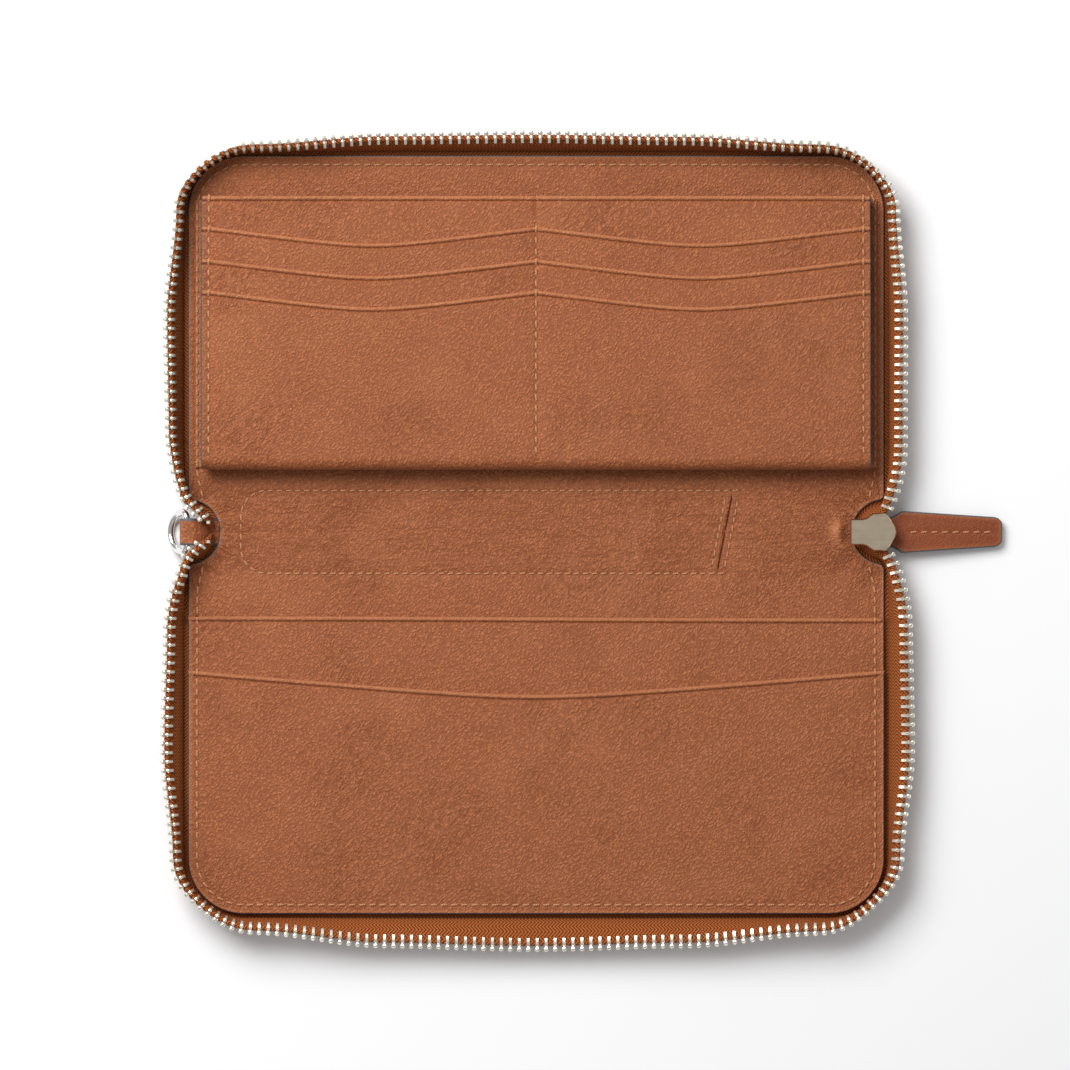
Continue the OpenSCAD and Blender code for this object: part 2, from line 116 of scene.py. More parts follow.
def addNode(tree, kind, inputs=None, **settings):
    node = tree.nodes.new(kind)
    for key, value in settings.items():
        setattr(node, key, value)
    for key, value in (inputs or {}).items():
        if isinstance(value, bpy.types.NodeSocket):
            tree.links.new(value, node.inputs[key])
        else:
            node.inputs[key].default_value = value
    return node


def mathNode(tree, operation, a, b=0.0):
    node = tree.nodes.new("ShaderNodeMath")
    node.operation = operation
    for socket, value in zip(node.inputs, (a, b)):
        if isinstance(value, bpy.types.NodeSocket):
            tree.links.new(value, socket)
        else:
            socket.default_value = value
    return node.outputs[0]


def blendColours(tree, factor, a, b, mode="MIX"):
    node = tree.nodes.new("ShaderNodeMix")
    node.data_type = "RGBA"
    node.blend_type = mode
    for socket, value in ((node.inputs[0], factor), (node.inputs[6], a), (node.inputs[7], b)):
        if isinstance(value, bpy.types.NodeSocket):
            tree.links.new(value, socket)
        else:
            socket.default_value = value
    return node.outputs[2]


def ramp(tree, value, low, high, smooth=True):
    node = tree.nodes.new("ShaderNodeMapRange")
    node.interpolation_type = "SMOOTHSTEP" if smooth else "LINEAR"
    tree.links.new(value, node.inputs["Value"])
    node.inputs["From Min"].default_value = low
    node.inputs["From Max"].default_value = high
    return node.outputs["Result"]


leatherLook = {
    "colour": (0.400, 0.122, 0.038, 1),
    "dark": (0.225, 0.058, 0.013, 1),
    "light": (0.57, 0.220, 0.090, 1),
    "pebble": 0.62,            # size of the grain's pebbles, mm
    "grainDepth": 0.12,        # mm
    "rough": 0.52,
}


def stretched(tree, vector, degrees, scale):
    # coordinates in which a texture is drawn out along a direction
    return addNode(tree, "ShaderNodeMapping", {"Vector": vector, "Rotation": (0, 0, math.radians(degrees)),
                                               "Scale": scale}, vector_type="TEXTURE").outputs[0]


def spineCreases(tree, hide):
    # fine lines along the spine, and lines that run out of the notches at its ends
    parts = addNode(tree, "ShaderNodeSeparateXYZ", {"Vector": hide}).outputs
    nearSpine = ramp(tree, mathNode(tree, "ABSOLUTE", parts[1]), 14.0, 9.0)
    run = stretched(tree, hide, 2.5, (9.0, 1.7, 3.0))
    lines = addNode(tree, "ShaderNodeTexNoise", {"Vector": run, "Scale": 1.5, "Detail": 3.0,
                                                 "Distortion": 0.5}).outputs["Fac"]
    crease = ramp(tree, mathNode(tree, "ABSOLUTE", mathNode(tree, "SUBTRACT", lines, 0.5)), 0.045, 0.0)
    total = mathNode(tree, "MULTIPLY", crease, mathNode(tree, "MULTIPLY", nearSpine, 0.22))
    for end in (-1, 1):
        dx = mathNode(tree, "SUBTRACT", end * 94.0, parts[0])
        r = mathNode(tree, "SQRT", mathNode(tree, "ADD", mathNode(tree, "MULTIPLY", dx, dx),
                                            mathNode(tree, "MULTIPLY", parts[1], parts[1])))
        turn = mathNode(tree, "ARCTAN2", parts[1], mathNode(tree, "ABSOLUTE", dx))
        polar = addNode(tree, "ShaderNodeCombineXYZ", {"X": mathNode(tree, "MULTIPLY", turn, 5.0),
                                                       "Y": mathNode(tree, "MULTIPLY", r, 0.10),
                                                       "Z": float(end)}).outputs[0]
        rays = addNode(tree, "ShaderNodeTexNoise", {"Vector": polar, "Scale": 1.6, "Detail": 2.0}).outputs["Fac"]
        ray = ramp(tree, mathNode(tree, "ABSOLUTE", mathNode(tree, "SUBTRACT", rays, 0.5)), 0.05, 0.0)
        near = mathNode(tree, "MULTIPLY", ramp(tree, r, 22.0, 10.0), 0.45)
        total = mathNode(tree, "ADD", total, mathNode(tree, "MULTIPLY", ray, near))
    return total


def leatherMaterial(name, look, grainScale=1.0, creases=1.0, spine=True):
    material, tree, shader = newMaterial(name)
    hide = addNode(tree, "ShaderNodeAttribute", attribute_name="hide").outputs["Vector"]
    # the hide is stretched a little along one diagonal, so its pebbles are longer that way
    turned = stretched(tree, hide, 52, (1.45, 0.9, 1.0))
    warp = addNode(tree, "ShaderNodeTexNoise", {"Vector": turned, "Scale": 0.55, "Detail": 2.0})
    shift = addNode(tree, "ShaderNodeVectorMath", {0: warp.outputs["Color"], 1: (1.1, 1.1, 1.1)},
                    operation="MULTIPLY").outputs[0]
    bent = addNode(tree, "ShaderNodeVectorMath", {0: turned, 1: shift}, operation="ADD").outputs[0]
    pebbles = addNode(tree, "ShaderNodeTexVoronoi",
                      {"Vector": bent, "Scale": 1 / (look["pebble"] * grainScale), "Smoothness": 0.35},
                      feature="SMOOTH_F1").outputs["Distance"]
    small = addNode(tree, "ShaderNodeTexVoronoi",
                    {"Vector": bent, "Scale": 2.1 / (look["pebble"] * grainScale)}).outputs["Distance"]
    valleys = addNode(tree, "ShaderNodeTexNoise",
                      {"Vector": bent, "Scale": 0.9 / (look["pebble"] * grainScale), "Detail": 4.0,
                       "Roughness": 0.6}).outputs["Fac"]
    pores = addNode(tree, "ShaderNodeTexNoise", {"Vector": hide, "Scale": 7.0, "Detail": 2.0}).outputs["Fac"]
    height = mathNode(tree, "MULTIPLY", ramp(tree, pebbles, 0.62, 0.12), 0.62)
    height = mathNode(tree, "ADD", height, mathNode(tree, "MULTIPLY", small, -0.25))
    height = mathNode(tree, "ADD", height, mathNode(tree, "MULTIPLY", valleys, 0.85))
    height = mathNode(tree, "ADD", height, mathNode(tree, "MULTIPLY", pores, 0.16))
    # fine creases that run with the stretch
    run = stretched(tree, hide, 50, (5.0, 1.3, 2.0))
    lines = addNode(tree, "ShaderNodeTexNoise", {"Vector": run, "Scale": 0.9, "Detail": 3.0,
                                                 "Distortion": 0.6}).outputs["Fac"]
    crease = ramp(tree, mathNode(tree, "ABSOLUTE", mathNode(tree, "SUBTRACT", lines, 0.5)), 0.03, 0.0)
    patch = addNode(tree, "ShaderNodeTexNoise", {"Vector": hide, "Scale": 0.045, "Detail": 1.0}).outputs["Fac"]
    crease = mathNode(tree, "MULTIPLY", crease, ramp(tree, patch, 0.46, 0.7))
    height = mathNode(tree, "SUBTRACT", height, mathNode(tree, "MULTIPLY", crease, 0.34 * creases))
    if spine:
        height = mathNode(tree, "SUBTRACT", height, spineCreases(tree, hide))
    bump = addNode(tree, "ShaderNodeBump", {"Height": height, "Strength": 1.0,
                                            "Distance": look["grainDepth"] * mm * 2.2}).outputs[0]
    cloud = addNode(tree, "ShaderNodeTexNoise", {"Vector": hide, "Scale": 0.06, "Detail": 3.0}).outputs["Fac"]
    colour = blendColours(tree, ramp(tree, height, 0.15, 0.95), look["dark"], look["colour"])
    colour = blendColours(tree, mathNode(tree, "MULTIPLY", ramp(tree, cloud, 0.45, 0.8), 0.12), colour,
                          look["light"])
    # the colour is lightened by a per-point mark: wear at the edges, and painted highlight on rolled edges and on the
    # bump's lit flank
    wearAndHighlightMask = addNode(tree, "ShaderNodeAttribute", attribute_name="wearAndHighlight").outputs["Fac"]
    colour = blendColours(tree, mathNode(tree, "MULTIPLY", wearAndHighlightMask, 0.5), colour, look["light"])
    tree.links.new(colour, shader.inputs["Base Color"])
    rough = mathNode(tree, "SUBTRACT", look["rough"] + 0.12, mathNode(tree, "MULTIPLY", height, 0.16))
    tree.links.new(rough, shader.inputs["Roughness"])
    tree.links.new(bump, shader.inputs["Normal"])
    shader.inputs["Specular IOR Level"].default_value = 0.38
    shader.inputs["Sheen Weight"].default_value = 0.06
    shader.inputs["Sheen Roughness"].default_value = 0.5
    return material


def edgePaintMaterial():
    material, tree, shader = newMaterial("edgePaint")
    place = addNode(tree, "ShaderNodeTexCoord").outputs["Object"]
    streak = addNode(tree, "ShaderNodeTexNoise", {"Vector": place, "Scale": 900.0, "Detail": 3.0}).outputs["Fac"]
    colour = blendColours(tree, streak, (0.030, 0.036, 0.043, 1), (0.095, 0.112, 0.130, 1))
    tree.links.new(colour, shader.inputs["Base Color"])
    bump = addNode(tree, "ShaderNodeBump", {"Height": streak, "Distance": 0.03 * mm}).outputs[0]
    tree.links.new(bump, shader.inputs["Normal"])
    shader.inputs["Roughness"].default_value = 0.42
    return material


def fleshMaterial():
    material, tree, shader = newMaterial("fleshSide")
    place = addNode(tree, "ShaderNodeTexCoord").outputs["Object"]
    nap = addNode(tree, "ShaderNodeTexNoise", {"Vector": place, "Scale": 1500.0, "Detail": 4.0}).outputs["Fac"]
    colour = blendColours(tree, nap, (0.20, 0.075, 0.032, 1), (0.36, 0.15, 0.07, 1))
    tree.links.new(colour, shader.inputs["Base Color"])
    bump = addNode(tree, "ShaderNodeBump", {"Height": nap, "Distance": 0.1 * mm}).outputs[0]
    tree.links.new(bump, shader.inputs["Normal"])
    shader.inputs["Roughness"].default_value = 0.85
    return material


def tapeMaterial():
    material, tree, shader = newMaterial("zipTape")
    # "weave" holds the distance along the tape and across it, in mm
    weave = addNode(tree, "ShaderNodeAttribute", attribute_name="weave").outputs["Vector"]
    parts = addNode(tree, "ShaderNodeSeparateXYZ", {"Vector": weave}).outputs
    column = mathNode(tree, "PINGPONG", parts[1], 1.3)     # the herringbone turns at each column
    slope = mathNode(tree, "ADD", parts[0], column)
    twill = mathNode(tree, "SINE", mathNode(tree, "MULTIPLY", slope, 2 * math.pi / 0.95))
    warpEnds = mathNode(tree, "SINE", mathNode(tree, "MULTIPLY", parts[1], 2 * math.pi / 0.35))
    fuzz = addNode(tree, "ShaderNodeTexNoise", {"Vector": weave, "Scale": 9.0, "Detail": 3.0}).outputs["Fac"]
    height = mathNode(tree, "ADD", mathNode(tree, "MULTIPLY", twill, 0.5),
                      mathNode(tree, "MULTIPLY", warpEnds, 0.22))
    height = mathNode(tree, "ADD", height, mathNode(tree, "MULTIPLY", fuzz, 0.6))
    bump = addNode(tree, "ShaderNodeBump", {"Height": height, "Distance": 0.17 * mm}).outputs[0]
    colour = blendColours(tree, ramp(tree, height, -0.35, 0.85), (0.100, 0.019, 0.003, 1), (0.47, 0.135, 0.035, 1))
    tree.links.new(colour, shader.inputs["Base Color"])
    tree.links.new(bump, shader.inputs["Normal"])
    shader.inputs["Roughness"].default_value = 0.9
    shader.inputs["Specular IOR Level"].default_value = 0.15
    return material


def threadMaterial():
    material, tree, shader = newMaterial("waxedThread")
    weave = addNode(tree, "ShaderNodeAttribute", attribute_name="weave").outputs["Vector"]
    parts = addNode(tree, "ShaderNodeSeparateXYZ", {"Vector": weave}).outputs
    ply = mathNode(tree, "SINE", mathNode(tree, "ADD", mathNode(tree, "MULTIPLY", parts[0], 11.0),
                                          mathNode(tree, "MULTIPLY", parts[1], 2.0)))
    colour = blendColours(tree, ramp(tree, ply, -1.0, 0.6), (0.34, 0.12, 0.045, 1), (0.68, 0.33, 0.155, 1))
    tree.links.new(colour, shader.inputs["Base Color"])
    bump = addNode(tree, "ShaderNodeBump", {"Height": ply, "Distance": 0.07 * mm}).outputs[0]
    tree.links.new(bump, shader.inputs["Normal"])
    shader.inputs["Roughness"].default_value = 0.5
    return material


# near-black finish, painted shade for the inside of a needle hole
def holeShadeMaterial():
    material, tree, shader = newMaterial("paintedHoleShade")
    place = addNode(tree, "ShaderNodeTexCoord").outputs["Object"]
    nap = addNode(tree, "ShaderNodeTexNoise", {"Vector": place, "Scale": 2000.0}).outputs["Fac"]
    colour = blendColours(tree, nap, (0.035, 0.009, 0.003, 1), (0.09, 0.024, 0.008, 1))
    tree.links.new(colour, shader.inputs["Base Color"])
    shader.inputs["Roughness"].default_value = 0.9
    return material


def metalMaterial(name, colour, rough, brushed=0.0, direction=(1, 0, 0)):
    material, tree, shader = newMaterial(name)
    place = addNode(tree, "ShaderNodeTexCoord").outputs["Object"]
    stretch = tuple(60.0 if abs(d) > 0.5 else 2600.0 for d in direction)
    grain = addNode(tree, "ShaderNodeMapping", {"Vector": place, "Scale": stretch}).outputs[0]
    lines = addNode(tree, "ShaderNodeTexNoise", {"Vector": grain, "Scale": 1.0, "Detail": 3.0}).outputs["Fac"]
    wear = addNode(tree, "ShaderNodeTexNoise", {"Vector": place, "Scale": 420.0, "Detail": 4.0}).outputs["Fac"]
    spread = mathNode(tree, "ADD", mathNode(tree, "MULTIPLY", lines, brushed),
                      mathNode(tree, "MULTIPLY", wear, 0.10))
    tree.links.new(mathNode(tree, "ADD", spread, rough - 0.05 - brushed / 2), shader.inputs["Roughness"])
    deep = tuple(c * 0.96 for c in colour[:3]) + (1,)
    tree.links.new(blendColours(tree, ramp(tree, wear, 0.3, 0.7), deep, colour), shader.inputs["Base Color"])
    bump = addNode(tree, "ShaderNodeBump", {"Height": spread, "Distance": 0.02 * mm}).outputs[0]
    tree.links.new(bump, shader.inputs["Normal"])
    shader.inputs["Metallic"].default_value = 1.0
    return material


liningLeather = leatherMaterial("liningLeather", leatherLook)
shellLeather = leatherMaterial("shellLeather", leatherLook, 1.35, 0.6)
pullLook = dict(leatherLook, colour=(0.25, 0.055, 0.011, 1), dark=(0.185, 0.037, 0.006, 1),
                light=(0.42, 0.13, 0.042, 1), grainDepth=0.045)
pullLeather = leatherMaterial("pullLeather", pullLook, 0.8, 0.2)
edgePaint = edgePaintMaterial()
fleshSide = fleshMaterial()
zipTape = tapeMaterial()
waxedThread = threadMaterial()
paintedHoleShade = holeShadeMaterial()
toothMetal = metalMaterial("toothMetal", (0.97, 0.92, 0.79, 1), 0.30)
sliderMetal = metalMaterial("sliderMetal", (0.64, 0.53, 0.385, 1), 0.30, 0.14, (1, 0, 0))
ringMetal = metalMaterial("ringMetal", (0.80, 0.80, 0.79, 1), 0.16)
print("finishes ready")


# mesh helpers, all in mm
def buildMesh(name, points, faces, materials, faceSlots=None, hide=None, weave=None, wearAndHighlight=None, sharp=38):
    mesh = bpy.data.meshes.new(name)
    points = np.asarray(points, float)
    corners = np.array([(f[0], f[k], f[k + 1]) for f in faces for k in range(1, len(f) - 1)])
    a, b, c = (points[corners[:, i]] for i in range(3))
    if (a * np.cross(b, c)).sum() < 0:       # the faces look inwards, so they are turned round
        faces = [tuple(reversed(f)) for f in faces]
    mesh.from_pydata((points * mm).tolist(), [], faces)
    for material in materials:
        mesh.materials.append(material)
    if faceSlots is not None:
        mesh.polygons.foreach_set("material_index", np.asarray(faceSlots, np.int32))
    for label, data in (("hide", hide), ("weave", weave)):
        if data is not None:
            attribute = mesh.attributes.new(label, "FLOAT_VECTOR", "POINT")
            attribute.data.foreach_set("vector", np.asarray(data, np.float32).ravel())
    if wearAndHighlight is not None:
        attribute = mesh.attributes.new("wearAndHighlight", "FLOAT", "POINT")
        attribute.data.foreach_set("value", np.asarray(wearAndHighlight, np.float32))
    mesh.shade_smooth()
    mesh.set_sharp_from_angle(angle=math.radians(sharp))
    mesh.validate()
    piece = bpy.data.objects.new(name, mesh)
    bpy.context.scene.collection.objects.link(piece)
    return piece


def arc(cx, cy, r, fromDeg, toDeg, step=0.8):
    count = max(3, int(abs(math.radians(toDeg - fromDeg)) * r / step))
    a = np.radians(np.linspace(fromDeg, toDeg, count + 1))
    return [(cx + r * math.cos(t), cy + r * math.sin(t)) for t in a]


def fillLine(points, step=0.8, closed=True):
    out = []
    count = len(points)
    for i in range(count if closed else count - 1):
        a, b = np.array(points[i]), np.array(points[(i + 1) % count])
        n = max(1, int(np.linalg.norm(b - a) / step))
        out += [tuple(a + (b - a) * k / n) for k in range(n)]
    if not closed:
        out.append(tuple(points[-1]))
    return out


def distanceTo(points, line, closed):
    # how far each point is from a line of straight pieces
    a = np.asarray(line, float)
    b = np.roll(a, -1, 0) if closed else a[1:]
    a = a if closed else a[:-1]
    d = b - a
    lengths = np.maximum((d * d).sum(1), 1e-12)
    best = np.full(len(points), 1e9)
    for start in range(0, len(points), 3000):
        p = points[start:start + 3000, None, :] - a[None]
        t = np.clip((p * d[None]).sum(2) / lengths, 0, 1)
        gap = p - t[..., None] * d[None]
        best[start:start + 3000] = np.sqrt((gap * gap).sum(2).min(1))
    return best


def insideOf(points, line):
    x, y = points[:, 0], points[:, 1]
    a = np.asarray(line, float)
    b = np.roll(a, -1, 0)
    result = np.zeros(len(points), bool)
    for (x0, y0), (x1, y1) in zip(a, b):
        if y0 == y1:
            continue
        crosses = (y0 > y) != (y1 > y)
        result ^= crosses & (x < (x1 - x0) * (y - y0) / (y1 - y0) + x0)
    return result


def ringOffsets(line, offsets, closed):
    p = np.asarray(line, float)
    tangent = np.roll(p, -1, 0) - np.roll(p, 1, 0) if closed else np.gradient(p, axis=0)
    tangent /= np.maximum(np.linalg.norm(tangent, axis=1), 1e-9)[:, None]
    inward = np.stack([-tangent[:, 1], tangent[:, 0]], 1)
    rings = []
    for offset in offsets:
        ring = p + inward * offset
        rings.append(ring[distanceTo(ring, p, closed) > offset * 0.93])
    return np.concatenate(rings)


def flatMesh(outline, edge, offsets, grid, lines=(), lineOffsets=(0, 0.35, 0.8)):
    # triangles inside an outline, finer along its real edge and along its seams
    outline = np.asarray(outline, float)
    low, high = outline.min(0), outline.max(0)
    xs = np.arange(low[0] + grid / 2, high[0], grid)
    ys = np.arange(low[1] + grid / 2, high[1], grid * 0.87)
    gx, gy = np.meshgrid(xs, ys)
    gx = gx + (np.arange(len(ys)) % 2)[:, None] * grid / 2
    inner = np.stack([gx.ravel(), gy.ravel()], 1)
    inner = inner[insideOf(inner, outline)]
    inner = inner[distanceTo(inner, outline, True) > grid * 0.45]
    inner = inner[distanceTo(inner, edge, False) > max(offsets) + grid * 0.45]
    rings = ringOffsets(edge, offsets, False)
    rings = rings[insideOf(rings, outline)]
    rings = rings[distanceTo(rings, outline, True) > min(offsets) * 0.9]
    extra = [rings]
    for line in lines:
        path = np.array(fillLine(line, 0.8, False))
        tangent = np.gradient(path, axis=0)
        tangent /= np.maximum(np.linalg.norm(tangent, axis=1), 1e-9)[:, None]
        side = np.stack([-tangent[:, 1], tangent[:, 0]], 1)
        points = np.concatenate([path + side * t * o for o in lineOffsets for t in ((1, -1) if o else (1,))])
        points = points[insideOf(points, outline)]
        points = points[distanceTo(points, outline, True) > 0.3]
        points = points[distanceTo(points, edge, False) > max(offsets) + 0.25]
        extra.append(points)
        inner = inner[distanceTo(inner, path, False) > max(lineOffsets) + grid * 0.4]
    points = np.concatenate([outline] + extra + [inner])
    edges = [(i, (i + 1) % len(outline)) for i in range(len(outline))]
    made = delaunay_2d_cdt([Vector(p) for p in points], edges, [], 1, 1e-4, False)
    flat = np.array([tuple(v) for v in made[0]])
    faces = np.array([tuple(f) for f in made[2]])
    faces = faces[insideOf(flat[faces].mean(1), outline)]
    return flat, [tuple(int(i) for i in f) for f in faces]


def noiseAt(points, scale, seed=0.0):
    return np.array([noise.noise(Vector((x * scale + seed, y * scale - seed, seed * 0.37))) for x, y in points])


def borderOf(faces):
    seen = {}
    for f in faces:
        for i in range(len(f)):
            seen[(f[i], f[(i + 1) % len(f)])] = True
    return [e for e in seen if (e[1], e[0]) not in seen]


edgeRings = (0.12, 0.32, 0.62, 0.92, 1.2, 1.45, 1.75, 2.15, 2.7, 3.4)


def leatherPanel(name, outline, topAt, lowAt, materials, edge=None, painted=None, grid=1.9, lines=(),
                 rings=edgeRings, edgeRound=0.3, band=0.5, seed=0.0, upsideDown=None, place=None, paintedHighlightAt=None):
    # one closed piece of leather: a shaped top, its edge, and the flesh side below.
    # edge is the part of the outline that is a real edge, painted the part of it that has edge paint
    edge = outline + outline[:1] if edge is None else edge
    painted = edge if painted is None else painted
    flat, faces = flatMesh(outline, edge, rings, grid, lines)
    gap = distanceTo(flat, edge, False)
    top = topAt(flat)
    under = np.clip(edgeRound - gap, 0, edgeRound)
    top = top - (edgeRound - np.sqrt(np.maximum(edgeRound ** 2 - under ** 2, 0)))
    low = lowAt(flat)
    count = len(flat)
    points = np.concatenate([np.column_stack([flat, top]), np.column_stack([flat, low])])
    paint = distanceTo(flat, painted, False) if len(painted) else np.full(count, 9.0)
    slots = [1 if max(paint[list(f)]) < band else 0 for f in faces]
    allFaces = list(faces)
    for a, b in borderOf(faces):
        allFaces.append((b, a, a + count, b + count))
        slots.append(1 if max(paint[a], paint[b]) < 0.05 else 0)
    allFaces += [(f[2] + count, f[1] + count, f[0] + count) for f in faces]
    slots += [2] * len(faces)
    hide = points * np.array([1, 1, 2]) + np.array([seed * 37.0, seed * 53.0, seed * 11.0])
    wearAndHighlight = np.zeros(len(points))
    # lighter within about 1.3 mm of the real edge: wear, and a painted highlight on the rounded edge
    wearAndHighlight[:count] = np.clip(1.2 - gap / 1.1, 0, 0.9)
    # an extra painted highlight where a shape's flank catches the light
    if paintedHighlightAt is not None:
        wearAndHighlight[:count] = np.maximum(wearAndHighlight[:count], paintedHighlightAt(flat))
    if upsideDown is not None:
        points = points * np.array([1, 1, -1]) + np.array([0, 0, upsideDown])
    if place is not None:
        points = place(points)
    return buildMesh(name, points, allFaces, materials, slots, hide=hide, wearAndHighlight=wearAndHighlight)


def sheetGrid(name, outer, inner, materials, paintBand=0.0, seed=0.0):
    # a closed sheet from two grids of points, the outer face and the inner one; its side edges are painted
    outer, inner = np.asarray(outer, float), np.asarray(inner, float)
    rows, cols = outer.shape[:2]
    half = rows * cols
    faces, slots = [], []
    side = outer[0, :, 0] if cols < 2 else np.abs(np.abs(outer[:, :, 0]) - np.abs(outer[:, :1, 0]))
    for r in range(rows - 1):
        for c in range(cols - 1):
            i = r * cols + c
            faces.append((i, i + cols, i + cols + 1, i + 1))
            nearSide = paintBand > 0 and max(side[r, c], side[r, c + 1]) < paintBand
            slots.append(1 if nearSide else 0)
            faces.append((i + half, i + 1 + half, i + cols + 1 + half, i + cols + half))
            slots.append(2)
        for c, turn in ((0, 1), (cols - 1, 0)):
            i = r * cols + c
            face = (i, i + half, i + cols + half, i + cols)
            faces.append(face if turn else face[::-1])
            slots.append(1)
    for c in range(cols - 1):
        for r, turn in ((0, 0), (rows - 1, 1)):
            i = r * cols + c
            face = (i, i + half, i + 1 + half, i + 1)
            faces.append(face if turn else face[::-1])
            slots.append(0)
    points = np.concatenate([outer.reshape(-1, 3), inner.reshape(-1, 3)])
    # the hide coordinates follow the sheet round its folds
    step = np.concatenate([[0], np.cumsum(np.linalg.norm(np.diff(outer[:, cols // 2], axis=0), axis=1))])
    hide = np.stack([outer[:, :, 0], np.repeat(-step[:, None], cols, 1), outer[:, :, 2] * 0.2], 2).reshape(-1, 3)
    hide = np.concatenate([hide, hide]) + np.array([seed * 37.0, seed * 53.0, seed * 11.0])
    wearAndHighlight = np.zeros((rows, cols))
    wearAndHighlight[:8] = np.array([0.9, 0.9, 0.9, 0.9, 0.9, 0.85, 0.65, 0.35])[:, None]     # the mouth is lighter: handling wear, and a painted highlight on its rolled edge
    wearAndHighlight = np.concatenate([wearAndHighlight.ravel(), np.zeros(half)])
    return buildMesh(name, points, faces, materials, slots, hide=hide, wearAndHighlight=wearAndHighlight)


threadLook = {"pitch": 2.75, "length": 2.05, "radius": 0.31, "sink": 0.10, "lean": 7.0}


def threadRows(name, paths, heightAt, place=None, bars=(), **changes):
    # separate stitches along each path, with a needle hole after each; bars are longer stitches over an edge
    look = dict(threadLook, **changes)
    jobs = []
    for path in paths:
        path = np.array(path, float)
        along = np.concatenate([[0], np.cumsum(np.linalg.norm(np.diff(path, axis=0), axis=1))])
        count = max(1, int(round(along[-1] / look["pitch"])))
        for k in range(count):
            s = np.clip((k + 0.5) * along[-1] / count + np.array([-0.3, 0, 0.3]), 0, along[-1])
            near = [np.array([np.interp(v, along, path[:, i]) for i in (0, 1)]) for v in s]
            run = near[2] - near[0]
            turn = math.atan2(run[1], run[0]) + math.radians(look["lean"])
            jobs.append((near[1], turn, look["length"], look["radius"], True))
    for x, y, degrees, length, radius in bars:
        jobs.append((np.array([x, y]), math.radians(degrees), length, radius, False))
    points, faces, slots, weave, lifts = [], [], [], [], []
    sides, rings = 6, 7
    circle = [(math.cos(2 * math.pi * q / sides), math.sin(2 * math.pi * q / sides)) for q in range(sides)]
    for at, turn, length, radius, pierced in jobs:
        forward = np.array([math.cos(turn), math.sin(turn)])
        across = np.array([-forward[1], forward[0]])
        base = len(points)
        for r in range(rings):
            t = r / (rings - 1) * 2 - 1
            middle = at + forward * t * length / 2
            lift = radius * (1 - 1.3 * t ** 4) - look["sink"]
            size = radius * (1 - 0.4 * t ** 4)
            for c, h in circle:
                points.append(middle + across * size * c)
                lifts.append((*middle, lift + size * 0.85 * h))
                weave.append((t * length / 2, math.atan2(h, c), 0))
        for r in range(rings - 1):
            for q in range(sides):
                i, j = base + r * sides + q, base + r * sides + (q + 1) % sides
                faces.append((i, j, j + sides, i + sides))
                slots.append(0)
        faces.append(tuple(range(base + sides - 1, base - 1, -1)))
        faces.append(tuple(base + (rings - 1) * sides + q for q in range(sides)))
        slots += [0, 0]
        if pierced:
            # a small dish just past the stitch, near-black: painted shade standing in for the depth of the needle hole
            hole = at + forward * (length / 2 + 0.14)
            base = len(points)
            for ring, up in ((1.15, -0.08), (1.0, 0.05), (0.55, -0.05)):
                for c, h in circle:
                    points.append(hole + radius * ring * np.array([c, h]))
                    lifts.append((*hole, up))
                    weave.append((0, 0, 0))
            for r in range(2):
                for q in range(sides):
                    i, j = base + r * sides + q, base + r * sides + (q + 1) % sides
                    faces.append((i, j, j + sides, i + sides))
                    slots.append(1)
            faces.append(tuple(base + 2 * sides + q for q in range(sides)))
            faces.append(tuple(base + q for q in range(sides - 1, -1, -1)))
            slots += [1, 1]
    lifts = np.array(lifts)
    points = np.column_stack([np.array(points), heightAt(lifts[:, :2]) + lifts[:, 2]])
    if place is not None:
        points = place(points)
    return buildMesh(name, points, faces, [waxedThread, paintedHoleShade], slots, weave=weave, sharp=70)


def loftMesh(name, rings, materials, closedAlong=False, **more):
    # rings of points, one after the other; each ring is closed
    rings = np.asarray(rings, float)
    count, size = rings.shape[:2]
    faces = []
    for k in range(count if closedAlong else count - 1):
        n = (k + 1) % count
        faces += [(k * size + i, k * size + (i + 1) % size, n * size + (i + 1) % size, n * size + i)
                  for i in range(size)]
    if not closedAlong:
        faces.append(tuple(range(size - 1, -1, -1)))
        faces.append(tuple((count - 1) * size + i for i in range(size)))
    return buildMesh(name, rings.reshape(-1, 3), faces, materials, **more)


def joinPieces(name, pieces):
    # several meshes into one, without operators
    points, faces, slots, materials, marks = [], [], [], [], {}
    for piece in pieces:
        mesh = piece.data
        base = len(points)
        points += [tuple(v.co) for v in mesh.vertices]
        order = []
        for material in mesh.materials:
            if material not in materials:
                materials.append(material)
            order.append(materials.index(material))
        for face in mesh.polygons:
            faces.append(tuple(base + i for i in face.vertices))
            slots.append(order[face.material_index])
        for label in ("hide", "weave"):
            data = np.zeros((len(mesh.vertices), 3), np.float32)
            if label in mesh.attributes:
                flat = np.zeros(len(mesh.vertices) * 3, np.float32)
                mesh.attributes[label].data.foreach_get("vector", flat)
                data = flat.reshape(-1, 3)
            marks.setdefault(label, []).append(data)
        wearAndHighlight = np.zeros(len(mesh.vertices), np.float32)
        if "wearAndHighlight" in mesh.attributes:
            mesh.attributes["wearAndHighlight"].data.foreach_get("value", wearAndHighlight)
        marks.setdefault("wearAndHighlight", []).append(wearAndHighlight)
        bpy.data.objects.remove(piece)
        bpy.data.meshes.remove(mesh)
    marks = {label: np.concatenate(data) for label, data in marks.items()}
    return buildMesh(name, np.array(points) / mm, faces, materials, slots, **marks)


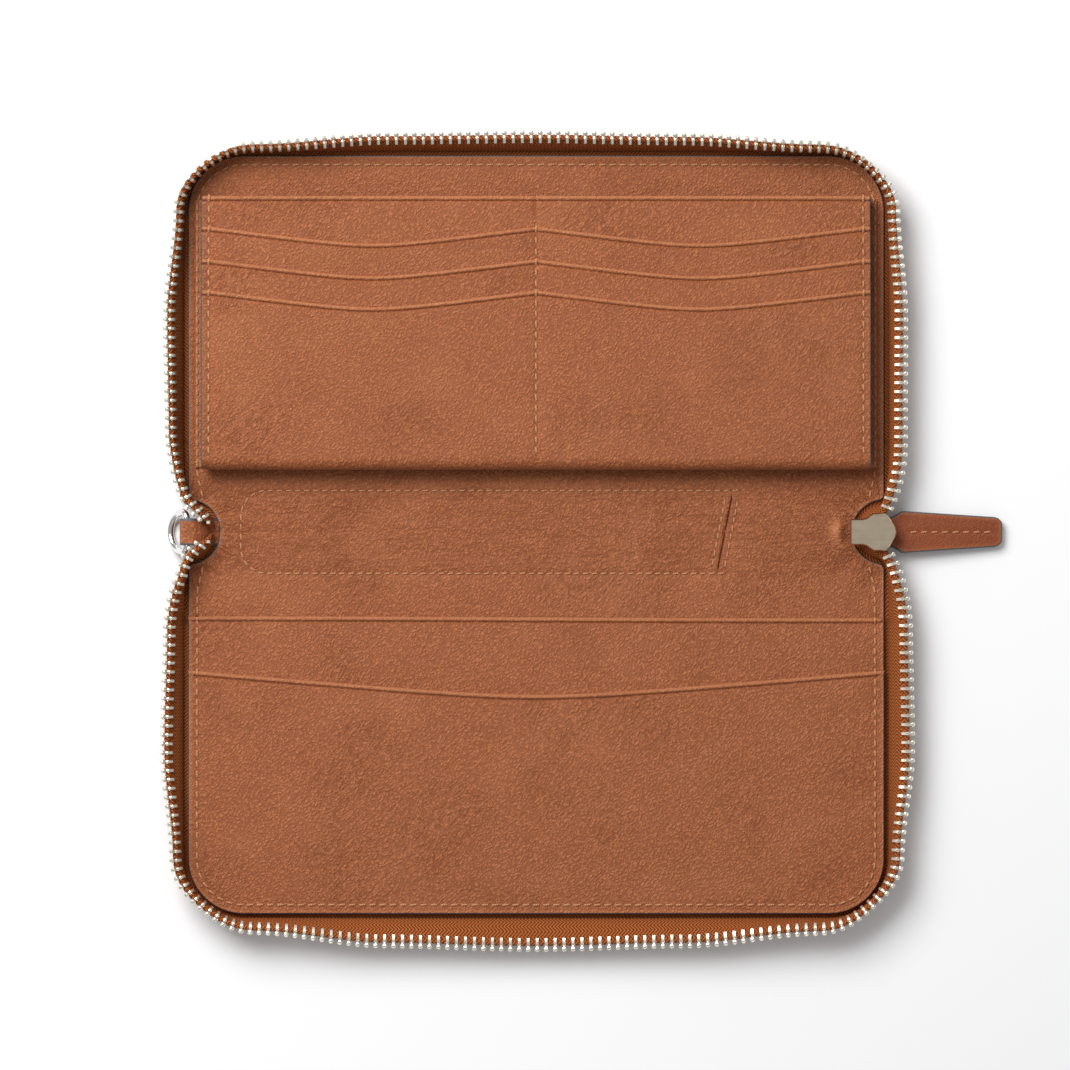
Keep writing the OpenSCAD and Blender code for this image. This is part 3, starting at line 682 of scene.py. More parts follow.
# outlines of the covers
def coverEdge(reach, margin=0.0, notchMargin=0.0):
    # the real edge of half the open wallet, from the right end of the spine round to its left end
    half = wallet["halfWidth"] + margin
    far = reach + margin
    corner = wallet["corner"] + margin
    notch = wallet["notch"] + notchMargin
    soft = wallet["notchRound"]
    # a small round joins the notch to the straight side
    centreY = math.sqrt((notch + soft) ** 2 - (soft - margin) ** 2)
    turn = math.degrees(math.atan2(centreY, soft - margin))
    right = arc(wallet["halfWidth"], 0, notch, 180, 180 - turn)
    right += arc(half - soft, centreY, soft, -turn, 0, 0.4)
    right += arc(half - corner, far - corner, corner, 0, 90)
    return fillLine(right + [(-x, y) for x, y in reversed(right)], closed=False)


def turnOver(points, side):
    # the same points on the back cover's side, still running the same way round
    return list(points) if side > 0 else [(x, -y) for x, y in reversed(points)]


def closeOutline(edge):
    return edge + fillLine([edge[-1], edge[0]], closed=False)[1:-1]


def smooth(a, b, x):
    t = np.clip((x - a) / (b - a), 0, 1)
    return t * t * (3 - 2 * t)


def ridge(x, at, width):
    return np.exp(-((x - at) / width) ** 2)


reachOf = {1: wallet["frontReach"], -1: wallet["backReach"]}
print("helpers ready")


# seams
seam = {"inside": 2.5, "groove": 0.13, "grooveWidth": 0.5}


def coverSeam(side):
    # the seam round a cover; at the spine its ends turn in a little
    reach = reachOf[side]
    points = [(x, y) for x, y in coverEdge(reach, -seam["inside"], -seam["inside"]) if y > 8.2]
    points = [(x - math.copysign(1.5 * (1 - smooth(8.2, 17, y)), x), y) for x, y in points]
    return [(x, y * side) for x, y in points]


penPocket = {
    "left": -79.7,
    "half": 11.2,
    "round": 7.0,
    "rightFront": 55.2,
    "rightBack": 51.2,
    "slitFront": (52.8, 8.9),
    "slitBack": (49.2, -9.6),
    "lip": 1.7,
}


def penSeams(side):
    # the pocket's seam on one half of the spine, and the two rows that hold the slit's lips
    p = penPocket
    top = p["half"] - p["round"]
    outer = [(p["left"], 0.2), (p["left"], top)]
    outer += arc(p["left"] + p["round"], top, p["round"], 180, 90)
    outer += [(p["rightFront"] if side > 0 else p["rightBack"], p["half"])]
    a, b = np.array(p["slitBack"]), np.array(p["slitFront"])
    along = (b - a) / np.linalg.norm(b - a)
    across = np.array([-along[1], along[0]])
    lips = []
    for offset in (-p["lip"], p["lip"]):
        low, high = a + across * offset, b + across * offset
        middle = low + (high - low) * (-low[1] / (high[1] - low[1]))
        lips.append([tuple(middle), tuple(high if side > 0 else low)])
    return [[(x, y * side) for x, y in fillLine(outer, 0.8, False)]] + lips


def slitLine():
    return fillLine([penPocket["slitBack"], penPocket["slitFront"]], 0.8, False)


# the shape of the leather's top
def grooves(points, paths):
    depth = np.zeros(len(points))
    for path in paths:
        gap = distanceTo(points, path, False)
        depth = np.maximum(depth, np.exp(-(gap / seam["grooveWidth"]) ** 2))
    return -seam["groove"] * depth


tailBulge = {"centre": (88.2, 0.0), "radius": 6.5, "height": 1.6, "width": 1.6, "paintedHighlight": 1.7}


def bulgePolar(points):
    x, y = points[:, 0] - tailBulge["centre"][0], points[:, 1] - tailBulge["centre"][1]
    return np.hypot(x, y), np.arctan2(y, -x)


def bulgeHighlight(points):
    # the far flank of the bump is painted lighter, a painted highlight where the light strikes it
    r, a = bulgePolar(points)
    return np.clip(tailBulge["paintedHighlight"] * ridge(r, tailBulge["radius"] + 1.0, 1.15) * ridge(a, 0.04, 0.36), 0, 2)


def liningTop(side):
    paths = [coverSeam(side)] + penSeams(side)
    slit = slitLine()

    def heightAt(points):
        x, y = points[:, 0], points[:, 1]
        z = level["lining"] + 0.16 * noiseAt(points, 0.035, 3.0) + 0.07 * noiseAt(points, 0.12, 5.0)
        # soft waves along the spine, and gathers where the leather is pinched by the notches
        z = z + 0.10 * smooth(15, 8, np.abs(y)) * np.sin(y * 1.25 + 0.02 * x + 1.5 * noiseAt(points, 0.03, 8.0))
        for end in (-1, 1):
            dx, dy = x - end * wallet["halfWidth"], y
            r, a = np.hypot(dx, dy), np.arctan2(dy, -end * dx)
            fade = smooth(26, 11, r) * smooth(8.6, 10.5, r)
            z = z + 0.20 * fade * np.sin(a * 11 + 2.0 * noiseAt(points, 0.06, 13.0 + end))
        # the leather lies over the end of the zip at the right
        r, a = bulgePolar(points)
        z = z + tailBulge["height"] * ridge(r, tailBulge["radius"], tailBulge["width"]) * ridge(a, 0, 0.55)
        # the slit, open a little, with one lip standing higher
        gap = distanceTo(points, slit, False)
        a, b = np.array(penPocket["slitBack"]), np.array(penPocket["slitFront"])
        beyond = (x - a[0]) * (b[1] - a[1]) - (y - a[1]) * (b[0] - a[0])
        z = z - 0.75 * np.exp(-(gap / 0.22) ** 2)
        z = z + np.where(beyond < 0, 0.30, 0.10) * np.exp(-((gap - 0.8) / 0.55) ** 2)
        # under the pockets it is pressed flat
        flat = smooth(21, 25, np.abs(y)) if side < 0 else smooth(88, 84, y) * smooth(16, 19, y)
        flat = flat * (1 if side < 0 else smooth(92, 90.5, np.abs(x)))
        z = z * (1 - flat) + (level["lining"] - 0.12) * flat
        return z + grooves(points, paths) * (1 - flat)

    return heightAt


frontLiningAt = liningTop(1)
backLiningAt = liningTop(-1)
welt = {"width": 1.25, "rise": 0.30, "crease": 0.38}


def weltShape(d):
    # a folded mouth: a round roll, then a pressed line behind it
    roll = welt["rise"] * np.sin(np.pi * np.clip(d / welt["width"], 0, 1)) ** 0.7
    press = -welt["crease"] * np.exp(-((d - welt["width"] - 0.12) / 0.24) ** 2)
    return roll + press


def rearMouth(x):
    return 23.0 + 0.25 * np.sin(x * 0.02)


def frontMouth(x):
    soft = np.sqrt((x / 94) ** 2 + 0.05) - math.sqrt(0.05)
    return 43.9 - 8.2 * soft


def slack(points):
    # both slip pockets lie on the same soft ground, so that neither shows through the other
    x, y = points[:, 0], points[:, 1]
    z = 0.22 * noiseAt(points, 0.03, 21.0) + 0.08 * noiseAt(points, 0.11, 23.0)
    return z + 0.35 * smooth(23, 40, -y) * smooth(94, 70, np.abs(x)) * smooth(103, 80, -y)


def pocketTop(mouthAt, base):
    path = coverSeam(-1)

    def heightAt(points):
        d = -points[:, 1] - mouthAt(points[:, 0])
        return base + slack(points) + weltShape(d) + grooves(points, [path])

    return heightAt


rearPocketAt = pocketTop(rearMouth, level["rear"])
frontPocketAt = pocketTop(frontMouth, level["front"])


def backTop(points):
    # whatever is uppermost on the back cover
    x, y = points[:, 0], points[:, 1]
    z = backLiningAt(points)
    z = np.where(-y > rearMouth(x), rearPocketAt(points), z)
    return np.where(-y > frontMouth(x), frontPocketAt(points), z)


billPocket = {"half": 92.0, "low": 17.4, "high": billHigh[1]}


def billTop(points):
    return level["bill"] + 0.05 * noiseAt(points, 0.1, 40.0) + grooves(points, [coverSeam(1)])


def frontTop(points):
    x, y = points[:, 0], points[:, 1]
    onBill = (y > billPocket["low"]) & (y < billPocket["high"]) & (np.abs(x) < billPocket["half"])
    return np.where(onBill, billTop(points), frontLiningAt(points))


def level0(z):
    return lambda points: np.full(len(points), float(z))


leatherSet = [liningLeather, edgePaint, fleshSide]


def bendAtSpine(piece):
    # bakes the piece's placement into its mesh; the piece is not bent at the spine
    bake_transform(piece)


# covers
for side, word in ((1, "front"), (-1, "back")):
    # outer leather, grain side down
    edge = turnOver(coverEdge(reachOf[side], wallet["shellMargin"], -0.6), side)
    outer = leatherPanel(word + "OuterLeather", closeOutline(edge), level0(level["shellTop"]), level0(0.0),
                         [shellLeather, edgePaint, fleshSide], edge=edge, grid=2.4, rings=(0.12, 0.3, 0.55, 1.2),
                         edgeRound=0.45, upsideDown=level["shellTop"], seed=side + 2.0)
    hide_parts(word + "_outer_leather", "spine_outer_leather")
    bendAtSpine(outer)

    # lining, with the notches and the slit
    edge = turnOver(coverEdge(reachOf[side]), side)
    lines = penSeams(side) + [slitLine()]
    if side > 0:
        lines.append(arc(*tailBulge["centre"], tailBulge["radius"], 180, 130))
        lines.append(arc(*tailBulge["centre"], tailBulge["radius"] - 1.9, 180, 130))
    else:
        lines.append(arc(*tailBulge["centre"], tailBulge["radius"], 230, 180))
        lines.append(arc(*tailBulge["centre"], tailBulge["radius"] - 1.9, 230, 180))
    lining = leatherPanel(word + "Lining", closeOutline(edge), frontLiningAt if side > 0 else backLiningAt,
                          level0(level["liningLow"]), leatherSet, edge=edge, lines=lines, grid=1.7,
                          paintedHighlightAt=bulgeHighlight)
    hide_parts(word + "_lining", "spine_lining")
    bendAtSpine(lining)

    seamPath = coverSeam(side)
    rows = threadRows(word + "Thread", [seamPath], frontTop if side > 0 else backTop)
    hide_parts(word + "_thread")
    bendAtSpine(rows)
    rows = threadRows(word + "PenPocketThread", penSeams(side), frontLiningAt if side > 0 else backLiningAt,
                      pitch=2.45, length=1.85, radius=0.26)
    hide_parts("pen_pocket_thread", word + "_thread")
    bendAtSpine(rows)
print("covers and lining done")


# pockets of the back cover
def pocketPiece(name, node, mouthAt, topAt, low, seed):
    rim = [(x, y) for x, y in turnOver(coverEdge(reachOf[-1], -0.02), -1) if -y > mouthAt(x)]
    mouth = [(x, -mouthAt(x)) for x in np.arange(rim[-1][0], rim[0][0], -0.9)][1:-1]
    outline = [(float(x), float(y)) for x, y in rim + mouth]
    piece = leatherPanel(name, outline, topAt, level0(low), [pocketLeather, edgePaint, fleshSide], painted=rim,
                         edgeRound=0.45, seed=seed)
    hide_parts(node)
    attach(piece, "back_cover")
    return piece


pocketLeather = leatherMaterial("pocketLeather", leatherLook, spine=False)
pocketPiece("rearPocket", "back_rear_pocket", rearMouth, rearPocketAt, level["lining"], 4.0)
pocketPiece("frontPocket", "back_front_pocket", frontMouth, frontPocketAt, level["rear"], 7.0)

# the slip pocket for bills behind the leaf
x, low, high = billPocket["half"], billPocket["low"], billPocket["high"]
bill = fillLine([(-x, low), (x, low), (x, high), (-x, high)])
piece = leatherPanel("billPocket", bill, billTop, level0(level["lining"]), [pocketLeather, edgePaint, fleshSide],
                     painted=[], grid=3.0, seed=9.0)
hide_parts("front_bill_pocket")
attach(piece, "front_cover")
print("pockets done")


# card leaf
leaf = {
    "half": leafHigh[0],
    "near": leafLow[1],
    "far": leafHigh[1],
    "seam": leafHigh[0] - 2.0,
    "mouths": (82.2, 73.4, 65.0),     # rear, middle and front slots, at the seams
    "dip": 4.6,                       # how far each mouth sags between two seams
    "soft": 0.25,
    "puff": 0.55,
    "thick": 0.7,
}


def mouthLine(x, top):
    u = np.abs(np.minimum(np.abs(x), leaf["seam"]) - leaf["seam"] / 2) / (leaf["seam"] / 2)
    k = leaf["soft"]
    rise = (np.sqrt(u * u + k * k) - k) / (math.sqrt(1 + k * k) - k)
    return top - leaf["dip"] * (1 - rise)


def leafPuff(x, y):
    # the leather stands up between the seams and is pulled down along them
    gap = np.minimum(np.abs(np.abs(x) - leaf["seam"]), np.abs(x))
    inner = np.abs(x) < leaf["seam"]
    swell = leaf["puff"] * ((1 - np.exp(-gap / 2.4)) * 0.65 + 0.45 * np.sin(np.pi * gap / leaf["seam"]))
    along = np.stack([np.ravel(x), np.ravel(y)], 1)
    wave = 0.13 * noiseAt(along, 0.045, 50.0).reshape(np.shape(x))
    return np.where(inner, swell + wave * (1 - np.exp(-gap / 4)), 0) - seam["groove"] * np.exp(-(gap / 0.5) ** 2)


def leafColumns():
    base = set(np.round(np.linspace(-leaf["half"], leaf["half"], 101), 3))
    for at in (-leaf["seam"], 0.0, leaf["seam"]):
        base |= {round(at + d, 3) for d in (-1.4, -0.9, -0.55, -0.25, 0, 0.25, 0.55, 0.9, 1.4)}
    for d in (0.1, 0.3, 0.55):
        base |= {round(leaf["half"] - d, 3), round(d - leaf["half"], 3)}
    kept = []
    for x in sorted(v for v in base if abs(v) <= leaf["half"] + 1e-6):
        if not kept or x - kept[-1] > 0.09:
            kept.append(x)
    return np.array(kept)


mouthRows = [0, 0.06, 0.16, 0.32, 0.5, 0.75, 1.0, 1.2, 1.37, 1.55, 1.8, 2.2, 3.0]
leafX = leafColumns()


def leafSurface(top, low, base, straight=False):
    # grid of a layer's upper face from its mouth down to the line y = low
    reach = top - low
    more = list(np.arange(4.6, reach, 1.9))
    d = np.array(mouthRows + more + [reach])
    far = np.full(len(leafX), top) if straight else mouthLine(leafX, top)
    y = far[None, :] - d[:, None] * ((far - low) / reach)[None, :]
    x = np.repeat(leafX[None, :], len(d), 0)
    roll = np.minimum(d, 0.45)[:, None]
    z = base + leafPuff(x, y) + weltShape(d[:, None]) - (0.45 - np.sqrt(0.45 ** 2 - (0.45 - roll) ** 2))
    side = np.clip(0.3 - (leaf["half"] - np.abs(x)), 0, 0.3)
    z = z - (0.3 - np.sqrt(0.09 - side ** 2))
    return np.stack([x, y, z], 2)


def underneath(outer, thick, mouth=0.62):
    inner = outer.copy()
    inner[:, :, 2] -= thick
    inner[0, :, 2] = outer[3, :, 2] - mouth
    return inner


leafSet = [pocketLeather, edgePaint, fleshSide]
layers = (
    ("leafPanel", "leaf_panel", leaf["far"], 23.6, "panel", True),
    ("rearSlot", "card_slot_rear", leaf["mouths"][0], 34.0, "slotRear", False),
    ("middleSlot", "card_slot_middle", leaf["mouths"][1], 26.0, "slotMiddle", False),
)
for number, (name, node, top, low, base, straight) in enumerate(layers):
    outer = leafSurface(top, low, level[base], straight)
    piece = sheetGrid(name, outer, underneath(outer, 0.58), leafSet, 0.35, seed=11.0 + 3 * number)
    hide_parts(node)
    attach(piece, "card_leaf")

# the wrap: front slot, folded edge and back of the leaf in one piece
noseRadius = (level["leaf"] - level["leafBack"]) / 2
noseY = leaf["near"] + noseRadius
noseZ = level["leafBack"] + noseRadius
front = leafSurface(leaf["mouths"][2], noseY, level["leaf"])
lastPuff = leafPuff(leafX, np.full(len(leafX), noseY))
turns = np.radians(np.arange(97, 271, 7.2))
nose = []
for a in turns:
    swell = noseRadius + lastPuff * max(0.0, math.sin(a))
    squeeze = 1 - 0.06 * np.exp(-((leaf["half"] - np.abs(leafX)) / 1.5) ** 2)
    nose.append(np.stack([leafX, noseY + swell * squeeze * math.cos(a), noseZ + swell * math.sin(a)], 1))
backRows = [np.stack([leafX, np.full(len(leafX), y), np.full(len(leafX), level["leafBack"])], 1)
            for y in np.linspace(noseY, leaf["far"], 34)[1:]]
outer = np.concatenate([front, np.array(nose), np.array(backRows)])
down = np.gradient(outer, axis=0)
across = np.gradient(outer, axis=1)
normal = np.cross(down, across)
normal /= np.maximum(np.linalg.norm(normal, axis=2), 1e-9)[:, :, None]
if normal[len(mouthRows) + 4, 20, 2] < 0:
    normal = -normal
inner = outer - normal * leaf["thick"]
inner[:6] = underneath(outer, leaf["thick"])[:6]
wrap = sheetGrid("leafWrap", outer, inner, leafSet, 0.35, seed=23.0)


def boxMesh(name, low, high, materials, round0=0.25):
    # a box with rounded upright edges
    (x0, y0, z0), (x1, y1, z1) = low, high
    r = min(round0, (x1 - x0) * 0.45, (z1 - z0) * 0.45)
    section = []
    for cx, cz, start in ((x1 - r, z1 - r, 0), (x0 + r, z1 - r, 90), (x0 + r, z0 + r, 180), (x1 - r, z0 + r, 270)):
        section += arc(cx, cz, r, start, start + 90, r * 0.5)
    rings = [[(x, y, z) for x, z in section] for y in np.arange(y0, y1 + 0.01, (y1 - y0) / max(2, int((y1 - y0) / 3)))]
    return loftMesh(name, rings, materials)


# side edges of the leaf, pressed together and painted
sides = []
for end in (-1, 1):
    x = sorted((end * (leaf["half"] - 1.9), end * (leaf["half"] - 0.06)))
    low = (x[0], noseY, level["leafBack"] + 0.5)
    high = (x[1], leaf["far"] - 0.3, level["panel"] - 0.35)
    sides.append(boxMesh("leafSide", low, high, [edgePaint], 0.5))
wrap = joinPieces("leafWrap", [wrap] + sides)
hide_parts("leaf_wrap")
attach(wrap, "card_leaf")


def leafTop(points):
    x, y = points[:, 0], points[:, 1]
    z = level["panel"] + weltShape(leaf["far"] - y)
    for top, base in zip(leaf["mouths"], ("slotRear", "slotMiddle", "leaf")):
        d = mouthLine(x, top) - y
        z = np.where(d > 0.05, level[base] + weltShape(d), z)
    return z + leafPuff(x, y)


def leafSeams(x):
    # one run of stitches per layer, so that none bridges a mouth
    stops = [leaf["far"]] + [float(mouthLine(np.array(x), top)) for top in leaf["mouths"]] + [noseY + 0.3]
    paths, bars = [], []
    for top, low in zip(stops[:-1], stops[1:]):
        if top == leaf["far"] and x == 0:
            continue
        bars.append((x, top - 0.75, 90, 2.3, 0.36))
        paths.append([(x, top - 2.2), (x, low + 0.25)])
    return paths, bars


for name, node, xs in (("leafSideThread", "leaf_side_thread", (-leaf["seam"], leaf["seam"])),
                       ("leafDividerThread", "leaf_divider_thread", (0.0,))):
    paths, bars = [], []
    for x in xs:
        more = leafSeams(x)
        paths += more[0]
        bars += more[1]
    rows = threadRows(name, paths, leafTop, bars=bars)
    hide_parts(node)
    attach(rows, "card_leaf")
print("card leaf done")


# zip
zipLook = {
    "pitch": 2.42,
    "bead": 0.62,             # radius of the tape's beaded edge
    "bulge": 0.15,            # how much fatter the bead is between two teeth
    "tapeHalf": 0.22,
    "floor": level["shellTop"] + 0.28,
    "wall": 8.4,              # length of tape from its seam to its bead
    "still": 6.4,             # the part beside the slider and the ring
}
# along each tape, from the right end of the spine to the left end:
# share of the way round, how far the bead stands outside the seam, and how far the teeth lean
zipSweep = {
    1: ((0.00, 2.6, 64), (0.10, 2.7, 62), (0.185, 0.9, 45), (0.228, -0.7, 24), (0.275, 0.6, 36), (0.38, 2.7, 50),
        (0.50, 3.3, 54), (0.62, 2.9, 50), (0.725, 0.7, 32), (0.768, -0.6, 18), (0.815, 0.9, 28), (0.90, 3.4, 42),
        (1.00, 2.9, 38)),
    -1: ((0.00, 4.0, 66), (0.10, 4.6, 66), (0.185, 2.0, 48), (0.228, 0.2, 26), (0.275, 2.4, 48), (0.38, 5.6, 66),
         (0.50, 6.6, 70), (0.62, 5.6, 66), (0.725, 2.2, 46), (0.768, 0.2, 26), (0.815, 1.8, 34), (0.90, 4.2, 46),
         (1.00, 3.4, 42)),
}
# the two ends of each tape, from inside the spine outwards: x, y, height, heading of the teeth, lean
zipEnds = {
    (1, 1): ((87.4, 0.8, 6.9, -90, 88), (90.6, 1.9, 7.0, -75, 88), (92.6, 3.9, 7.05, -45, 85),
             (94.0, 5.9, 7.1, -25, 78), (94.8, 8.1, 7.5, -19, 73), (95.6, 10.4, 7.9, -15, 70),
             (96.4, 12.8, 8.2, -10, 68), (96.95, 15.1, 8.4, -6, 67), (97.4, 17.5, 8.5, -3, 66),
             (97.7, 20.5, 8.6, 0, 65)),
    (1, -1): ((-87.5, 0.7, 3.6, 200, 30), (-88.5, 2.6, 6.0, 222, 40), (-90.1, 5.0, 7.6, 222, 52),
              (-92.0, 6.5, 8.4, 218, 52), (-93.4, 8.1, 8.8, 212, 48), (-94.8, 10.4, 9.0, 200, 42),
              (-95.6, 12.7, 9.1, 192, 40), (-96.3, 14.9, 9.1, 187, 38), (-96.8, 17.3, 9.1, 183, 38),
              (-97.3, 19.9, 9.0, 181, 38)),
    (-1, 1): ((87.4, 0.8, 6.9, -90, 88), (90.6, 1.9, 7.0, -75, 88), (92.9, 3.9, 7.05, -45, 85),
              (94.8, 6.7, 7.1, -22, 76), (96.05, 9.1, 7.4, -16, 72), (96.7, 11.1, 7.7, -12, 70),
              (97.3, 13.4, 7.9, -9, 68), (97.9, 15.8, 8.0, -6, 67), (98.4, 17.9, 8.0, -4, 66),
              (98.8, 20.3, 8.0, -2, 66)),
    (-1, -1): ((-87.6, 0.5, 3.8, 200, 30), (-88.5, 2.0, 6.6, 220, 44), (-91.2, 4.4, 8.3, 218, 52),
               (-93.2, 6.0, 8.7, 214, 52), (-94.3, 8.0, 8.8, 207, 48), (-94.9, 9.9, 8.9, 200, 45),
               (-95.4, 11.9, 9.0, 193, 43), (-96.5, 14.4, 8.9, 188, 42), (-97.1, 16.6, 8.8, 185, 42),
               (-97.8, 19.2, 8.7, 182, 42)),
}
zipFrom = 25.0


def zipLine(side):
    # stations along the tape: the seam, the bead, and which way the teeth point
    base = np.array(coverEdge(reachOf[side], wallet["seamMargin"], -wallet["seamMargin"]))
    steps = np.linalg.norm(np.diff(base, axis=0), axis=1)
    along = np.concatenate([[0], np.cumsum(steps)])
    tangent = np.gradient(base, axis=0)
    facing = np.unwrap(np.arctan2(-tangent[:, 0], tangent[:, 1]))
    half = base[:, 0] > 0
    s0 = float(np.interp(zipFrom, base[half, 1], along[half]))
    s1 = along[-1] - s0
    table = np.array(zipSweep[side])
    # which tapes lie where: seam position, bead and teeth, for the main run
    main = np.linspace(s0, s1, 220)
    share = (main - s0) / (s1 - s0)
    knot = np.clip(np.searchsorted(table[:, 0], share, side="right") - 1, 0, len(table) - 2)
    t = smooth(0, 1, (share - table[knot, 0]) / (table[knot + 1, 0] - table[knot, 0]))
    out = table[knot, 1] * (1 - t) + table[knot + 1, 1] * t
    lean = table[knot, 2] * (1 - t) + table[knot + 1, 2] * t
    head = np.interp(main, along, facing)
    bx = np.interp(main, along, base[:, 0]) + np.cos(head) * out
    by = np.interp(main, along, base[:, 1]) + np.sin(head) * out
    bz = zipLook["floor"] + np.sqrt(zipLook["wall"] ** 2 - out ** 2) * 0.93
    wave = np.array([noise.noise(Vector((v * 0.045, side * 7.0, 0.5))) for v in main])
    rows = np.column_stack([main, bx, by, bz + 0.25 * wave, head, np.radians(lean)])
    # the ends
    first = np.array(zipEnds[(side, 1)], float)
    last = np.array(zipEnds[(side, -1)], float)
    firstSeam = np.linspace(2.6, s0 - 1.5, len(first))
    lastSeam = along[-1] - np.linspace(2.0, s0 - 1.5, len(last))
    firstRows = np.column_stack([firstSeam, first[:, :3], np.radians(first[:, 3]), np.radians(first[:, 4])])
    lastRows = np.column_stack([lastSeam, last[:, :3], np.radians(last[:, 3]), np.radians(last[:, 4])])
    firstRows[:, 4] += round((rows[0, 4] - firstRows[-1, 4]) / (2 * math.pi)) * 2 * math.pi
    lastRows[:, 4] += round((rows[-1, 4] - lastRows[-1, 4]) / (2 * math.pi)) * 2 * math.pi
    rows = np.concatenate([firstRows, rows, lastRows[::-1]])
    length = np.concatenate([[0], np.cumsum(np.linalg.norm(np.diff(rows[:, 1:4], axis=0), axis=1))])
    step = zipLook["pitch"] / 4
    s = np.arange(0, length[-1], step)
    even = np.column_stack([np.interp(s, length, rows[:, i]) for i in range(6)])
    kernel = np.array([1, 2, 3, 2, 1]) / 9
    for i in range(1, 6):
        padded = np.concatenate([[even[0, i]] * 2, even[:, i], [even[-1, i]] * 2])
        even[:, i] = np.convolve(padded, kernel, "valid")
    seamX = np.interp(even[:, 0], along, base[:, 0])
    seamY = np.interp(even[:, 0], along, base[:, 1])
    facing = np.interp(even[:, 0], along, facing)
    bead = even[:, 1:4]
    lean = even[:, 5]
    point = np.stack([np.cos(even[:, 4]) * np.sin(lean), np.sin(even[:, 4]) * np.sin(lean), np.cos(lean)], 1)
    return s, np.stack([seamX, seamY], 1), facing, bead, point


def zipPieces(side, word):
    s, seamXY, facing, bead, point = zipLine(side)
    count = len(s)
    out = np.stack([np.cos(facing), np.sin(facing), np.zeros(count)], 1)
    low = np.column_stack([seamXY, np.full(count, zipLook["floor"])])
    up = np.array([0, 0, 1.0])
    p1 = low + up * 3.0 + out * 0.4
    p2 = bead - point * 2.8
    p3 = bead - point * 0.45
    t = np.array([0, 0.08, 0.18, 0.3, 0.44, 0.58, 0.72, 0.86, 1.0])[None, :, None]
    low3, p1, p2, p3 = (v[:, None, :] for v in (low, p1, p2, p3))
    wall = low3 * (1 - t) ** 3 + 3 * p1 * t * (1 - t) ** 2 + 3 * p2 * t * t * (1 - t) + p3 * t ** 3
    flat = np.stack([low - out * 3.4, low - out * 1.5], 1)
    profile = np.concatenate([flat, wall], 1)
    alongTape = np.gradient(profile, axis=0)
    upTape = np.gradient(profile, axis=1)
    normal = np.cross(alongTape, upTape)
    normal /= np.maximum(np.linalg.norm(normal, axis=2), 1e-9)[:, :, None]
    beadSize = zipLook["bead"] - zipLook["bulge"] * np.cos(2 * math.pi * s / zipLook["pitch"])
    face = normal[:, -1]
    angles = np.radians(np.arange(0, 181, 30))[None, :, None]
    rim = bead[:, None] + beadSize[:, None, None] * (np.cos(angles) * face[:, None] + np.sin(angles) * point[:, None])
    shoulder = (bead - point * 0.35)[:, None] + face[:, None] * (beadSize * 0.9)[:, None, None]
    shoulder2 = (bead - point * 0.35)[:, None] - face[:, None] * (beadSize * 0.9)[:, None, None]
    rings = np.concatenate([profile + normal * zipLook["tapeHalf"], shoulder, rim, shoulder2,
                            (profile - normal * zipLook["tapeHalf"])[:, ::-1]], 1)
    across = np.concatenate([[0], np.cumsum(np.linalg.norm(np.diff(rings[count // 3], axis=0), axis=1))])
    weave = np.stack([np.repeat(s[:, None], rings.shape[1], 1), np.repeat(across[None], count, 0),
                      np.zeros(rings.shape[:2])], 2)
    mirror = np.array([1, side, 1.0])
    tape = loftMesh(word + "ZipTape", rings * mirror, [zipTape], weave=weave.reshape(-1, 3), sharp=60)
    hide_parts(word + "_zip_tape", "left_end_tape", "right_end_tape")
    bendAtSpine(tape)

    # a tooth: jaws on the bead, a neck, and a round head
    template = ((-1.3, 0.50, 1.0), (-1.15, 0.62, 1.15), (0.35, 0.62, 1.15), (0.6, 0.56, 0.95), (0.88, 0.40, 0.62),
                (1.12, 0.46, 0.62), (1.45, 0.70, 0.74), (1.9, 0.68, 0.70), (2.2, 0.38, 0.42))
    circle = [(math.copysign(abs(math.cos(a)) ** 0.6, math.cos(a)), math.copysign(abs(math.sin(a)) ** 0.6, math.sin(a)))
              for a in np.radians(np.arange(22.5, 360, 45))]
    points, faces = [], []
    along = np.gradient(bead, axis=0)
    along /= np.linalg.norm(along, axis=1)[:, None]
    for k in range(int(s[-1] / zipLook["pitch"])):
        i = 4 * k
        x, y = bead[i, :2]
        if abs(y) < (5.1 if x > 0 else 3.1):     # inside the slider, or past the stop
            continue
        a = along[i] - point[i] * (along[i] @ point[i])
        a /= np.linalg.norm(a)
        b = np.cross(a, point[i])
        base = len(points)
        for h, wide, thick in template:
            for c, d in circle:
                points.append(bead[i] + point[i] * h + a * wide * c + b * thick * d)
        n = len(circle)
        for r in range(len(template) - 1):
            for q in range(n):
                j, m = base + r * n + q, base + r * n + (q + 1) % n
                faces.append((j, m, m + n, j + n))
        faces.append(tuple(base + q for q in range(n - 1, -1, -1)))
        faces.append(tuple(base + (len(template) - 1) * n + q for q in range(n)))
    teeth = buildMesh(word + "ZipTeeth", np.array(points) * mirror, faces, [toothMetal], sharp=42)
    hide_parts(word + "_zip_teeth", "left_end_teeth", "right_end_teeth")
    bendAtSpine(teeth)


zipPieces(1, "front")
zipPieces(-1, "back")
print("zip done")


# slider
sliderLow, sliderHigh = nodeBox("slider_body")
sliderLook = {
    "plate": 1.2,
    "bevel": 0.34,
    # half of the plate's outline, from the narrow end: distance along, half width
    "outline": ((0.0, 0.0), (0.0, 1.5), (0.0, 3.2), (0.35, 3.5), (3.3, 3.5), (4.3, 3.75), (5.3, 4.5), (6.2, 5.1),
                (9.4, 5.15), (9.9, 4.85), (11.0, 3.3), (12.2, 1.3), (12.6, 0.0)),
}


